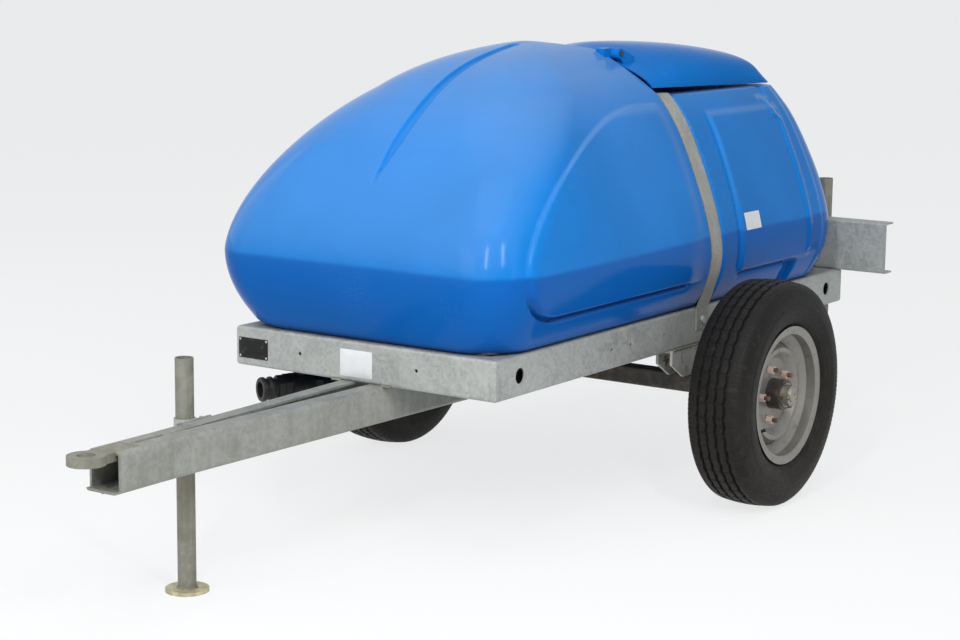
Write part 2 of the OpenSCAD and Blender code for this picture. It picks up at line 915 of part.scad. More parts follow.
function ring(z, inset, hood, lower) =
    let (half = ring_half(z, inset, hood), n = len(half))
    concat(
        [for (p = half) [p[0], p[1], z - lower]],
        [for (i = [n - 2:-1:1]) [half[i][0], -half[i][1], z - lower]]
    );

function middle(line) = [for (p = line) 1] * line / len(line);

module loft(rings) {
    n = len(rings[0]);
    m = len(rings);
    walls = [
        for (k = [0:m - 2])
            for (i = [0:n - 1])
                let (j = (i + 1) % n, a = k * n, b = a + n)
                each [[a + i, b + i, a + j], [a + j, b + i, b + j]]
    ];
    last = (m - 1) * n;
    foot_mid = m * n;
    roof_mid = foot_mid + 1;
    ends = [
        for (i = [0:n - 1])
            let (j = (i + 1) % n)
            each [[i, j, foot_mid], [last + j, last + i, roof_mid]]
    ];
    points = concat([for (r = rings) each r], [middle(rings[0]), middle(rings[m - 1])]);
    polyhedron(points = points, faces = concat(walls, ends), convexity = 8);
}

// Heights of the rings, from the frame up to the deck and on up the hood
deck_lift = 3;
foot_levels = [for (h = [0, 4, 9, foot_round, 32, 52]) frame_top + h];
swage_levels = [for (h = [-swage / 2, 0, swage / 2]) panel_foot_z + h];
belly_levels = [for (i = [1:4]) mix(panel_foot_z + swage / 2, bulge_z, i / 4)];
flank_levels = concat(
    [for (i = [1:13]) mix(bulge_z, deck_z - 2 * panel_cap, i / 13)],
    [deck_z - panel_cap, deck_z]
);
hood_levels = concat(
    [deck_z + deck_lift],
    [for (f = [0.14, 0.3, 0.46, 0.6, 0.72, 0.82, 0.9, 0.95, 0.985]) mix(deck_z, tank_top, f)]
);
body_levels = concat(foot_levels, swage_levels, belly_levels, flank_levels);
hollow_levels = [for (i = [1:4]) mix(bulge_z, deck_z, i / 4)];
hollow_hood_levels = concat(
    [deck_z + deck_lift],
    [for (f = [0.3, 0.6, 0.82, 0.95]) mix(deck_z, tank_top, f)]
);

hinge_r = 14;
hinge_drop = 12;
hinge_back = 20;
hinge_z = deck_z + hood_rise - hinge_drop;
hinge_x = hood_back(hinge_z) - hinge_back;
hinge_y = 150;
lug_l = 26;

module tank_skin() {
    loft(concat(
        [for (z = body_levels) ring(z, 0, false, 0)],
        [for (z = hood_levels) ring(z, 0, true, 0)]
    ));
}

module tank_hollow() {
    loft(concat(
        [ring(frame_top + foot_round, tank_wall, false, foot_round - tank_wall)],
        [ring(panel_foot_z, tank_wall, false, 0), ring(bulge_z, tank_wall, false, 0)],
        [for (z = hollow_levels) ring(z, tank_wall, false, tank_wall)],
        [for (z = hollow_hood_levels) ring(z, tank_wall, true, tank_wall)]
    ));
}

module tank_shell() {
    color(tank_blue) place() difference() {
        union() {
            difference() {
                tank_skin();
                tank_hollow();
            }
            translate([-filler_x, 0, deck_z - tank_wall])
                cylinder(d = filler_bore + 2 * tank_wall, h = tank_wall + filler_h);
            for (s = [-1, 1])
                translate([hinge_x, s * (hinge_y - lug_l / 2), hinge_z]) {
                    rod_y(2 * hinge_r, -lug_l / 2, lug_l / 2);
                    translate([0, -lug_l / 2, -hinge_r]) cube([3 * hinge_r, lug_l, 1.6 * hinge_r]);
                }
        }
        translate([-filler_x, 0, deck_z - 2 * tank_wall])
            cylinder(d = filler_bore, h = 3 * tank_wall + filler_h);
        translate([outlet_x, -outlet_y, frame_top - 1])
            cylinder(d = pipe_d + 2 * run_gap, h = 2 * tank_wall);
        translate([hinge_x, 0, hinge_z]) rod_y(hinge_d, -hinge_y - 1, hinge_y + 1);
    }
}

// Strap that follows the groove, leaves it above the frame and is bolted to the rails
strap_bolt_d = 12;
strap_bolt_drop = 35;
strap_foot = 62;
strap_bolt_z = frame_top - strap_bolt_drop;
strap_foot_z = frame_top - strap_foot;
strap_leave = 60;

function groove_y(z) = tank_half(z) - tail_drop(z) - strap_groove;

function strap_side() = concat(
    [[half_w, strap_foot_z], [half_w, frame_top - 2]],
    [for (z = body_levels) if (z > frame_top + strap_leave) [groove_y(z) + free_gap, z]],
    [[groove_y(deck_z) - 2 * deck_lift, deck_z + deck_lift + 2 * free_gap]]
);

function beside(line, d) = [
    for (i = [0:len(line) - 1])
        let (
            a = line[max(i - 1, 0)],
            b = line[min(i + 1, len(line) - 1)],
            t = (b - a) / norm(b - a)
        )
        line[i] + d * [t[1], -t[0]]
];

module tank_strap() {
    side = strap_side();
    loop = concat(side, [for (p = backwards(side)) [-p[0], p[1]]]);
    color(galvanised) place() difference() {
        along_x(-strap_x - strap_w / 2, -strap_x + strap_w / 2)
            polygon(concat(beside(loop, strap_t), backwards(loop)));
        translate([-strap_x, 0, strap_bolt_z]) rod_y(strap_bolt_d, -frame_w, frame_w);
    }
}

module strap_bolt() {
    head_h = 8;
    translate([-strap_x, 0, strap_bolt_z]) {
        rod_y(strap_bolt_d, half_w - beam_wall - strap_bolt_d, half_w + strap_t);
        translate([0, half_w + strap_t, 0]) rotate([-90, 0, 0])
            cylinder(d = nut_af / cos(30), h = head_h, $fn = 6);
    }
}

module strap_bolts() {
    color(galvanised) place() {
        strap_bolt();
        mirrored() strap_bolt();
    }
}

// Lid: a crowned shell whose front edge follows the hood's raked back
lid_edge_z = deck_z + lid_gap;
lid_half = lid_w / 2;
lid_front_gap = 20;
lid_power = 1.8;
lid_n = 17;
lid_m = 16;
lid_fall = 36;
lid_saddle = 9;

function lid_crown(u) =
    let (full = lid_h - lid_gap - lid_wall - 1 - lid_fall)
    deck_z + lid_h - lid_saddle * (1 - smooth(0, 0.25, u)) - lid_fall * pow(u, 3) - full * pow(u, 20);

function lid_point(u, a, inset) =
    let (
        top = lid_crown(u) - inset,
        up = pow(cos(a), 2 / lid_power),
        over = pow(abs(sin(a)), 2 / lid_power) * sign(a),
        front = hood_back(mix(lid_edge_z, lid_crown(0), up)) - lid_front_gap
    )
    [mix(front, -lid_l + hood_x, u), over * (lid_half - inset), mix(lid_edge_z, top, up)];

function lid_ring(u) = concat(
    [for (i = [0:lid_n - 1]) lid_point(u, mix(-90, 90, i / (lid_n - 1)), 0)],
    [for (i = [lid_n - 1:-1:0]) lid_point(u, mix(-90, 90, i / (lid_n - 1)), lid_wall)]
);

// Shell between an outer and an inner line, closed by strips at both ends
module shell_loft(rings) {
    n = len(rings[0]);
    m = len(rings);
    walls = [
        for (k = [0:m - 2])
            for (i = [0:n - 1])
                let (j = (i + 1) % n, a = k * n, b = a + n)
                each [[a + i, b + i, a + j], [a + j, b + i, b + j]]
    ];
    last = (m - 1) * n;
    ends = [
        for (k = [0:n / 2 - 2])
            let (p = n - 1 - k, q = n - 2 - k)
            each [
                [k, k + 1, q], [k, q, p],
                [last + q, last + k + 1, last + k], [last + p, last + q, last + k]
            ]
    ];
    polyhedron(points = [for (r = rings) each r], faces = concat(walls, ends), convexity = 6);
}

ear_l = 26;

module hinge_ear() {
    translate([hinge_x, hinge_y + free_gap, hinge_z]) {
        rod_y(2 * hinge_r, 0, ear_l);
        along_y(0, ear_l) polygon([
            [0, 9], [-5 * hinge_r, -10], [-5 * hinge_r, -34], [-1.2 * hinge_r, -32], [0, -10]
        ]);
    }
}

// Room for a lug of the tank in the lid's front edge
module lug_room() {
    room = 4;
    translate([hinge_x, 0, hinge_z])
        rod_y(2 * (hinge_r + room), hinge_y - lug_l - room, hinge_y + free_gap);
}

module lid() {
    color(tank_blue) place() difference() {
        union() {
            difference() {
                shell_loft([for (k = [0:lid_m]) lid_ring(1 - pow(1 - k / lid_m, 1.6))]);
                lug_room();
                mirrored() lug_room();
            }
            hinge_ear();
            mirrored() hinge_ear();
        }
        translate([hinge_x, 0, hinge_z])
            rod_y(hinge_d + 2 * run_gap, -hinge_y - 2 * ear_l, hinge_y + 2 * ear_l);
    }
}

module hinge_pin() {
    translate([hinge_x, 0, hinge_z]) {
        rod_y(hinge_d, hinge_y - lug_l, hinge_y + ear_l + 3 * free_gap);
        rod_y(1.6 * hinge_d, hinge_y + ear_l + 2 * free_gap, hinge_y + ear_l + 2 * free_gap + 4);
    }
}

module hinge_pins() {
    color("gray") place() {
        hinge_pin();
        mirrored() hinge_pin();
    }
}

// Screw cap over the filler neck with grip ribs and a bar to turn it by
module filler_cap() {
    neck_d = filler_bore + 2 * tank_wall;
    cap_od = neck_d + 12;
    ribs = 24;
    rib = 6;
    bar = 22;
    top = 6;
    seat = deck_z + filler_h + free_gap;
    color(black) place() translate([-filler_x, 0, seat]) {
        difference() {
            translate([0, 0, top - cap_skirt]) cylinder(d = cap_od, h = cap_skirt);
            translate([0, 0, -cap_skirt]) cylinder(d = neck_d + 2 * free_gap, h = cap_skirt);
        }
        for (i = [0:ribs - 1])
            rotate([0, 0, 360 * (i + 0.5) / ribs]) translate([cap_od / 2 - 2, -rib / 2, top - cap_skirt + 2])
                cube([rib / 2 + 2, rib, cap_skirt - 4]);
        translate([-filler_bore / 2, -bar / 2, top - 1]) cube([filler_bore, bar, bar * 0.7]);
    }
}

// Outlet: drop pipe, ball valve with a lever, and a hose adaptor
bend_r = 60;
valve_x = 165;
valve_end = 20;
valve_mid = 60;
valve_out = valve_x + 2 * valve_end + valve_mid;
stem_x = valve_x + valve_end + valve_mid / 2;
ball_d = pipe_bore + 16;
stem_d = 12;
stem_foot = ball_d / 2 - 4;
bonnet_top = ball_d / 2 + 16;

module at_outlet() {
    translate([axle_x + outlet_x, -outlet_y, frame_top - outlet_drop]) rotate([0, 0, -outlet_turn]) children();
}

module outlet_run(d, top) {
    translate([0, 0, bend_r]) cylinder(d = d, h = top - bend_r);
    translate([bend_r, 0, bend_r]) rotate([90, 0, 0]) rotate([0, 0, 180])
        rotate_extrude(angle = 90) translate([bend_r, 0]) circle(d = d);
    rod_x(d, bend_r, valve_x);
}

module outlet_pipe() {
    flange_t = 10;
    flange_rim = 25;
    color(black) at_outlet() difference() {
        union() {
            outlet_run(pipe_d, outlet_drop + tank_wall);
            translate([0, 0, outlet_drop - flange_t]) cylinder(d = pipe_d + 2 * flange_rim, h = flange_t);
        }
        outlet_run(pipe_bore, outlet_drop + 2 * tank_wall);
        rod_x(pipe_bore, valve_x - 1, valve_x + 1);
    }
}

module hex_x(d, from, to) {
    translate([from, 0, 0]) rotate([0, 90, 0]) cylinder(d = d, h = to - from, $fn = 6);
}

module valve_body() {
    body_d = ball_d + 16;
    color(black) at_outlet() difference() {
        union() {
            rod_x(body_d, valve_x + valve_end, valve_out - valve_end);
            hex_x(pipe_d + 12, valve_x, valve_x + valve_end);
            hex_x(pipe_d + 12, valve_out - valve_end, valve_out);
            translate([stem_x, 0, 0]) cylinder(d = 3 * stem_d, h = bonnet_top);
        }
        rod_x(pipe_bore, valve_x - 1, valve_out + 1);
        translate([stem_x, 0, 0]) sphere(d = ball_d + 2 * free_gap);
        translate([stem_x, 0, 0]) cylinder(d = stem_d + 2 * run_gap, h = 2 * bonnet_top);
    }
}

module valve_ball() {
    color("gray") at_outlet() translate([stem_x, 0, 0]) difference() {
        sphere(d = ball_d);
        rod_x(pipe_bore, -ball_d, ball_d);
        translate([-ball_d / 2, -ball_d / 2, stem_foot]) cube(ball_d);
    }
}

module valve_lever() {
    lever_w = 18;
    lever_t = 8;
    color(black) at_outlet() translate([stem_x, 0, 0]) {
        translate([0, 0, stem_foot]) cylinder(d = stem_d, h = bonnet_top + lever_t - stem_foot);
        translate([0, 0, bonnet_top + free_gap]) cylinder(d = 2 * stem_d, h = lever_t);
        translate([-lever_l + lever_w / 2, -lever_w / 2, bonnet_top + free_gap])
            cube([lever_l - lever_w / 2, lever_w, lever_t]);
        translate([-lever_l + lever_w / 2, 0, bonnet_top + free_gap]) cylinder(d = lever_w, h = lever_t);
    }
}

// Hose adaptor: a hexagon, a neck and a grooved plug for the coupling's arms
module camlock_adaptor() {
    plug_r = pipe_d / 2 + 1.5;
    hex_l = 18;
    color(black) at_outlet() difference() {
        union() {
            hex_x(pipe_d + 8, valve_out, valve_out + hex_l);
            translate([valve_out, 0, 0]) rotate([0, 90, 0]) rotate_extrude() polygon([
                [0, hex_l - 1], [plug_r - 6, hex_l - 1], [plug_r - 6, hex_l + 8], [plug_r, hex_l + 12],
                [plug_r, hex_l + 18], [plug_r - 4, hex_l + 22], [plug_r - 4, hex_l + 28],
                [plug_r, hex_l + 32], [plug_r, hex_l + 39], [plug_r - 2, hex_l + 42], [0, hex_l + 42]
            ]);
        }
        rod_x(pipe_bore, valve_out - 1, valve_out + 4 * hex_l);
    }
}

// Rear cross channel with notches for the raised props
channel_inset = 35;
channel_x = -frame_rear + channel_inset;

module rear_channel() {
    color(galvanised) place() difference() {
        translate([channel_x, 0, frame_top + channel_h / 2])
            along_y(-channel_l / 2, channel_l / 2)
                channel_section(channel_flange, channel_h, channel_wall, channel_wall + 3);
        for (s = [-1, 1])
            translate([-rear_prop_x, s * rear_prop_span / 2, frame_top - 1])
                cylinder(d = prop_d + 8, h = channel_h + 2);
    }
}

// Prop sleeves, each on a pad, with a boss for its clamp screw
clamp_d = 12;
boss_d = 24;
boss_l = 12;
knob_l = 36;
knob_d = 9;
screw_l = 42;
prop_y = bar_half(prop_x) + sleeve_pad + sleeve_r - sleeve_sink;
clamp_z = frame_bottom - 24;

module prop_tube(length) {
    difference() {
        cylinder(d = prop_d, h = length);
        translate([0, 0, -1]) cylinder(d = prop_d - 2 * prop_wall, h = length + 2);
    }
}

module sleeve_bore(low, high) {
    translate([0, 0, low - 1]) cylinder(d = prop_d + 2 * run_gap, h = high - low + 2);
}

module prop_bracket() {
    pad_l = 120;
    low = frame_bottom - bar_h;
    color(galvanised) place() mirrored() difference() {
        union() {
            translate([kink_x, bar_flange, bar_z]) rotate([0, 0, -spread])
                translate([prop_x - kink_x - pad_l / 2, 0, -bar_h / 2]) cube([pad_l, sleeve_pad, bar_h]);
            translate([prop_x, prop_y, low]) cylinder(r = sleeve_r, h = bar_h);
            translate([prop_x, prop_y, clamp_z]) rod_x(boss_d, -sleeve_r - boss_l, -prop_d / 2);
        }
        translate([prop_x, prop_y, 0]) sleeve_bore(low, frame_bottom);
        translate([prop_x, prop_y, clamp_z])
            rod_x(clamp_d + 2 * run_gap, -sleeve_r - 2 * boss_l, 0);
    }
}

module front_prop_tube() {
    color(galvanised) place() translate([prop_x, -prop_y, foot_t]) prop_tube(prop_l - foot_t);
}

module front_prop_foot() {
    hole_n = 3;
    color(galvanised) place() translate([prop_x, -prop_y, 0]) difference() {
        cylinder(d = foot_d, h = foot_t);
        for (i = [0:hole_n - 1])
            rotate([0, 0, 360 * i / hole_n]) translate([foot_d * 0.37, 0, -1])
                cylinder(d = frame_hole_d + 2, h = foot_t + 2);
    }
}

// Clamp screw along its own axis, with its tip just clear of the tube
module clamp_screw() {
    tip = prop_d / 2 + free_gap;
    translate([0, 0, tip]) cylinder(d = clamp_d, h = screw_l);
    translate([0, 0, tip + screw_l - knob_d]) rod_y(knob_d, -knob_l / 2, knob_l / 2);
}

module front_prop_clamp() {
    color("gray") place() translate([prop_x, -prop_y, clamp_z])
        rotate([0, -90, 0]) rotate([0, 0, 90]) clamp_screw();
}

module rear_sleeve() {
    pad_w = 70;
    color(galvanised) place() difference() {
        union() {
            translate([-frame_rear - sleeve_pad, (rear_prop_span - pad_w) / 2, frame_bottom])
                cube([sleeve_pad, pad_w, beam_h]);
            translate([-rear_prop_x, rear_prop_span / 2, frame_bottom]) cylinder(r = sleeve_r, h = beam_h);
            translate([-rear_prop_x, rear_prop_span / 2, beam_z])
                rod_y(boss_d, -sleeve_r - boss_l, -prop_d / 2);
        }
        translate([-rear_prop_x, rear_prop_span / 2, 0]) sleeve_bore(frame_bottom, frame_top);
        translate([-rear_prop_x, rear_prop_span / 2, beam_z])
            rod_y(clamp_d + 2 * run_gap, -sleeve_r - 2 * boss_l, 0);
    }
}

module rear_sleeve_left() {
    rear_sleeve();
}

module rear_sleeve_right() {
    mirrored() rear_sleeve();
}

module rear_prop() {
    color(galvanised) place() translate([-rear_prop_x, rear_prop_span / 2, rear_prop_lift + foot_t])
        prop_tube(rear_prop_l - foot_t);
}

module rear_prop_left() {
    rear_prop();
}

module rear_prop_right() {
    mirrored() rear_prop();
}

module rear_foot() {
    color(galvanised) place() translate([-rear_prop_x, rear_prop_span / 2, rear_prop_lift])
        cylinder(d = rear_foot_d, h = foot_t);
}

module rear_foot_left() {
    rear_foot();
}

module rear_foot_right() {
    mirrored() rear_foot();
}

module rear_clamp() {
    color("gray") place() translate([-rear_prop_x, rear_prop_span / 2, beam_z])
        rotate([90, 0, 0]) clamp_screw();
}

module rear_clamp_left() {
    rear_clamp();
}

module rear_clamp_right() {
    mirrored() rear_clamp();
}

front_crossmember();
rear_crossmember();
rail_left();
rail_right();
bearer_front();
bearer_rear();
drawbar_left();
drawbar_right();
tow_eye();
axle_beam();
axle_bracket_left();
axle_bracket_right();
stub_axle_left();
stub_axle_right();
spindle_nut_left();
spindle_nut_right();
tank_shell();
tank_strap();
strap_bolts();
hinge_pins();
outlet_pipe();
valve_body();
camlock_adaptor();
valve_lever();
valve_ball();
lid();
filler_cap();
rear_channel();
prop_bracket();
front_prop_tube();
front_prop_foot();
front_prop_clamp();
rear_sleeve_left();
rear_sleeve_right();
rear_prop_left();
rear_prop_right();
rear_foot_left();
rear_foot_right();
rear_clamp_left();
rear_clamp_right();
tyre_left();
tyre_right();
rim_left();
rim_right();
hub_left();
hub_right();
bearings_left();
bearings_right();
wheel_studs_left();
wheel_studs_right();
wheel_nuts_left();
wheel_nuts_right();
dust_cap_left();
dust_cap_right();
tyre_valve_left();
tyre_valve_right();
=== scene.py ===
# %% [markdown]
# A wheeled water bowser: a blue moulded tank strapped to a galvanised two-wheel trailer.
# The solids come in as a fixed frame, each at its own place. This lesson dresses them: it sets
# the camera and a plain studio, mixes the finishes as shader nodes, and works out the soft
# moulded shapes again as fine numpy surfaces, because a rotomoulded skin shows every flat.

# %% Load the frame
import json
import math

import bpy
import numpy as np
from mathutils import Matrix, Vector


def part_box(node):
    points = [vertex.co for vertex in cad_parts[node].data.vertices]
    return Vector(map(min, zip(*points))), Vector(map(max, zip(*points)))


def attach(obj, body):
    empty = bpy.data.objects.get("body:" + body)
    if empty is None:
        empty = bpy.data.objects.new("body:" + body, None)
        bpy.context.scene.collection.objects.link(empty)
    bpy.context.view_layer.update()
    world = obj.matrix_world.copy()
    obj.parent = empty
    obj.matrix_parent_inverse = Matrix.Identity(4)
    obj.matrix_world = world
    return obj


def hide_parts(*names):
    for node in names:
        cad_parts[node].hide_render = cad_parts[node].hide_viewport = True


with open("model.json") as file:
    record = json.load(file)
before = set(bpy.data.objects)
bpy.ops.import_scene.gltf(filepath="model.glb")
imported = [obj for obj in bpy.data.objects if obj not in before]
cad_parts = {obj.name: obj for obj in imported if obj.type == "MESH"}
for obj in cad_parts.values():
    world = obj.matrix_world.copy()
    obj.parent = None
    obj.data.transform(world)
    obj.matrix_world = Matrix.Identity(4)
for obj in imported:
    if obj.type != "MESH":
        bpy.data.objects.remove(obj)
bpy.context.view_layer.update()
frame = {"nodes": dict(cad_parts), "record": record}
scene = bpy.context.scene
scene.view_settings.view_transform = "Standard"

# %% [markdown]
# New pieces are set out as a trailer maker would: in millimetres, along and across from the middle
# of the axle and up from the ground. One helper turns such points into the frame's metres, which
# the camera, the lamps and the finishes use. The axle's place is read from a tyre, so the dressing
# follows the solids if the drawbar gets longer.

# %% Axle and units
tyre_low, tyre_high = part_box("tyre_left")
axle_x = (tyre_low.x + tyre_high.x) / 2
axle_z = (tyre_low.z + tyre_high.z) / 2


def metres(points):
    """Axle-based millimetres to frame metres: (x / 1000 + axle_x, y / 1000, z / 1000)."""
    return np.asarray(points, float) / 1000 + np.array([axle_x, 0, 0])


print("axle at x", round(axle_x, 4), "height", round(axle_z, 4))

# %% [markdown]
# The camera stands at the front left corner, a little above the tank. Its place, turn and lens
# were worked out from edges of known size, and a matrix of three axes sets it in one go. A
# tracking constraint would also aim it, but it can't carry the slight roll.

# %% Camera
yaw, pitch, roll = 3.74515976, -0.174469, 0.00965829
focal_px, picture_px, sensor_mm = 2193.08, 960, 36
look = Vector((math.cos(yaw) * math.cos(pitch), math.sin(yaw) * math.cos(pitch), math.sin(pitch)))
right = look.cross(Vector((0, 0, 1))).normalized()
above = right.cross(look)
right, above = (right * math.cos(roll) + above * math.sin(roll),
                above * math.cos(roll) - right * math.sin(roll))
camera_data = bpy.data.cameras.new("camera")
camera_data.sensor_width = sensor_mm
camera_data.lens = focal_px / picture_px * sensor_mm
camera_data.clip_end = 100
camera = bpy.data.objects.new("camera", camera_data)
camera.matrix_world = Matrix((right, above, -look)).transposed().to_4x4()
camera.location = (4.589565, 3.19193, 1.47814)
scene.collection.objects.link(camera)
scene.camera = camera
print("lens", round(camera_data.lens, 2))

# %% [markdown]
# All new pieces are grids of points: rows and columns computed as whole arrays. The first helpers
# lay points out, and the next join neighbours into faces and close the grid round either way. The
# last one turns the faces outwards, shades them smooth except where two meet at a steep angle,
# and seats the piece on the body that it moves with.

# %% Grid to piece
def points_of(*axes):
    """Points from one array for each axis, each stretched to the shape that they share."""
    return np.stack(np.broadcast_arrays(*axes), axis=-1)


def full_turn(count):
    """Angles of count equal steps round a circle."""
    return np.linspace(0, 2 * np.pi, count, endpoint=False)


def grid_faces(rows, cols, wrap_cols=False, wrap_rows=False):
    """Quads between neighbours of a rows x cols grid; the last column or row may join the first."""
    r = np.arange(rows if wrap_rows else rows - 1)[:, None]
    c = np.arange(cols if wrap_cols else cols - 1)[None, :]
    r2, c2 = (r + 1) % rows, (c + 1) % cols
    quads = np.stack([r * cols + c, r * cols + c2, r2 * cols + c2, r2 * cols + c], axis=-1)
    return quads.reshape(-1, 4).tolist()


def fan_faces(ring, centre):
    """Triangles from a ring of point numbers to the number of a centre point."""
    return [[a, b, centre] for a, b in zip(ring.tolist(), np.roll(ring, -1).tolist())]


def end_faces(rows, cols):
    """One many-sided face on the first row of a grid and one on the last."""
    return [list(range(cols))[::-1], list(range((rows - 1) * cols, rows * cols))]


def gather(parts):
    """Joins (points, faces) pairs into one set."""
    points, faces, first = [], [], 0
    for part_points, part_faces in parts:
        points.append(np.asarray(part_points))
        faces += [[i + first for i in face] for face in part_faces]
        first += len(part_points)
    return np.concatenate(points), faces


def add_piece(name, points, faces, body, slot, material, sharp=40, stands_for=None):
    """Piece on a body, from millimetre points; the sum of p0 . (p1 x p2) tells outside from in."""
    points = metres(points)
    mesh = bpy.data.meshes.new(name)
    mesh.from_pydata(points.tolist(), [], faces)
    mesh.validate()
    mesh.calc_loop_triangles()
    corners = np.empty(3 * len(mesh.loop_triangles), np.int32)
    mesh.loop_triangles.foreach_get("vertices", corners)
    p = (points - points.mean(axis=0))[corners.reshape(-1, 3)]
    if np.einsum("ij,ij->i", p[:, 0], np.cross(p[:, 1], p[:, 2])).sum() < 0:
        mesh.flip_normals()
    mesh.shade_smooth()
    if sharp:
        mesh.set_sharp_from_angle(angle=math.radians(sharp))
    mesh.materials.append(material)
    piece = bpy.data.objects.new(name, mesh)
    scene.collection.objects.link(piece)
    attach(piece, body)
    if stands_for:
        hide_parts(stands_for)
    print(name, len(mesh.polygons), "faces on", body)


print("helpers for pieces ready")

# %% [markdown]
# The floor, the sky and every finish are networks of nodes. Wired link by link they are hard to
# read, so a small class writes nodes into one tree. Each call adds a node and hands back its
# output, and a finish then reads like a recipe.

# %% Node recipes
class Recipe:
    """Writes shader nodes into one tree."""

    def __init__(self, tree):
        self.tree = tree

    def put(self, socket, value):
        """Links a socket to another one, or sets its plain value."""
        if isinstance(value, bpy.types.NodeSocket):
            self.tree.links.new(value, socket)
        else:
            socket.default_value = value

    def node(self, kind, inputs=None):
        """New node with its inputs, by name or number, linked or set."""
        node = self.tree.nodes.new("ShaderNode" + kind)
        for key, value in (inputs or {}).items():
            self.put(node.inputs[key], value)
        return node

    def math(self, kind, a, b=0.0, c=0.0, clamp=False):
        """One sum by Blender's name for it, such as MULTIPLY_ADD for a * b + c."""
        node = self.node("Math", {0: a, 1: b, 2: c})
        node.operation = kind
        node.use_clamp = clamp
        return node.outputs[0]

    def times(self, a, b, clamp=False):
        """Product of two values."""
        return self.math("MULTIPLY", a, b, clamp=clamp)

    def ramp(self, value, low, high, to_low=0.0, to_high=1.0, smooth=True):
        """Smooth or straight step of a value between low and high, from to_low up to to_high."""
        node = self.node("MapRange", {"Value": value, "From Min": low, "From Max": high,
                                      "To Min": to_low, "To Max": to_high})
        node.interpolation_type = "SMOOTHSTEP" if smooth else "LINEAR"
        return node.outputs["Result"]

    def noise(self, place, scale, detail=4.0, rough=0.55):
        """Noise from 0 to 1, scale waves to the metre."""
        inputs = {"Vector": place, "Scale": scale, "Detail": detail, "Roughness": rough}
        return self.node("TexNoise", inputs).outputs["Fac"]

    def axes(self, vector):
        """X, Y and Z of a vector."""
        return self.node("SeparateXYZ", {0: vector}).outputs

    def stretch(self, place, scale):
        """Place scaled along each axis, so that a pattern on it is drawn out."""
        return self.node("Mapping", {"Vector": place, "Scale": scale}).outputs["Vector"]

    def layer(self, mask, below, over):
        """Colour layer: below where the mask is 0, over where it is 1."""
        node = self.node("Mix")
        node.data_type = "RGBA"
        self.put(node.inputs["Factor"], mask)
        for socket, value in zip([s for s in node.inputs if s.type == "RGBA"], (below, over)):
            self.put(socket, value if isinstance(value, bpy.types.NodeSocket) else (*value, 1))
        return next(s for s in node.outputs if s.type == "RGBA")

    def use(self, group, place, **values):
        """Places a shared group in this tree with its own values, and hands back its outputs."""
        node = self.tree.nodes.new("ShaderNodeGroup")
        node.node_tree = group.tree
        for key, value in {"Vector": place, **values}.items():
            self.put(node.inputs[key], value)
        return node.outputs


print("node recipes ready")

# %% [markdown]
# The studio is a wide pale floor under an even white sky. Four large soft boxes hang round and
# above, and two narrow strips draw the streaks on the glossy corner. A brighter sky would
# bleach the blue, so the level stays where a colour renders about as it is written. To the camera
# and in a gloss the floor is mostly a pale glow and partly lit, so it keeps a faint shadow, and
# the sky takes the floor's far tone, so hardly any horizon shows.

# %% Studio
floor_glow, sky_light, sky_seen = 0.78, 0.36, 0.86


def studio_floor(radius, rings, spokes):
    """Disc at z = 0: radius * (ring / rings) ** 2 round a full turn, so rings crowd the middle."""
    r = radius * (np.arange(rings + 1)[:, None] / rings) ** 2
    a = full_turn(spokes)
    points = points_of(r * np.cos(a), r * np.sin(a), 0).reshape(-1, 3)
    mesh = bpy.data.meshes.new("floor")
    mesh.from_pydata(points.tolist(), [], grid_faces(rings + 1, spokes, wrap_cols=True))
    floor = bpy.data.objects.new("floor", mesh)
    scene.collection.objects.link(floor)
    return floor


def seen_or_mirrored(mix):
    """1 for rays from the camera, off a gloss or through a clear piece, and 0 for those that light."""
    path = mix.node("LightPath").outputs
    mirrored = mix.math("MAXIMUM", path["Is Transmission Ray"], path["Is Glossy Ray"])
    return mix.math("MAXIMUM", path["Is Camera Ray"], mirrored)


def soft_box(name, place, target, size, power):
    """Area lamp, size = (wide, tall), at a place and turned to a target."""
    lamp = bpy.data.lights.new(name, "AREA")
    lamp.shape = "RECTANGLE"
    lamp.size, lamp.size_y = size
    lamp.energy = power
    holder = bpy.data.objects.new(name, lamp)
    aim = (Vector(target) - Vector(place)).to_track_quat("-Z", "Y")
    holder.matrix_world = aim.to_matrix().to_4x4()
    holder.location = place
    scene.collection.objects.link(holder)


floor = studio_floor(60, 24, 64)
floor_finish = bpy.data.materials.new("studio_floor")
floor_finish.use_nodes = True
mix = Recipe(floor_finish.node_tree)
lit_floor = mix.tree.nodes["Principled BSDF"]
mix.put(lit_floor.inputs["Base Color"], (0.86, 0.86, 0.86, 1))
mix.put(lit_floor.inputs["Roughness"], 0.9)
mix.put(lit_floor.inputs["Specular IOR Level"], 0.1)
glow = mix.node("Emission", {"Color": (0.965, 0.97, 0.975, 1)})
paler = mix.node("MixShader", {"Fac": mix.times(seen_or_mirrored(mix), floor_glow),
                               1: lit_floor.outputs["BSDF"], 2: glow.outputs["Emission"]})
mix.put(mix.tree.nodes["Material Output"].inputs["Surface"], paler.outputs["Shader"])
floor.data.materials.append(floor_finish)

world = bpy.data.worlds.new("studio")
scene.world = world
world.use_nodes = True
mix = Recipe(world.node_tree)
sky = mix.tree.nodes["Background"].inputs
mix.put(sky["Color"], (0.93, 0.965, 1, 1))
mix.put(sky["Strength"], mix.ramp(seen_or_mirrored(mix), 0.0, 1.0, sky_light, sky_seen, smooth=False))

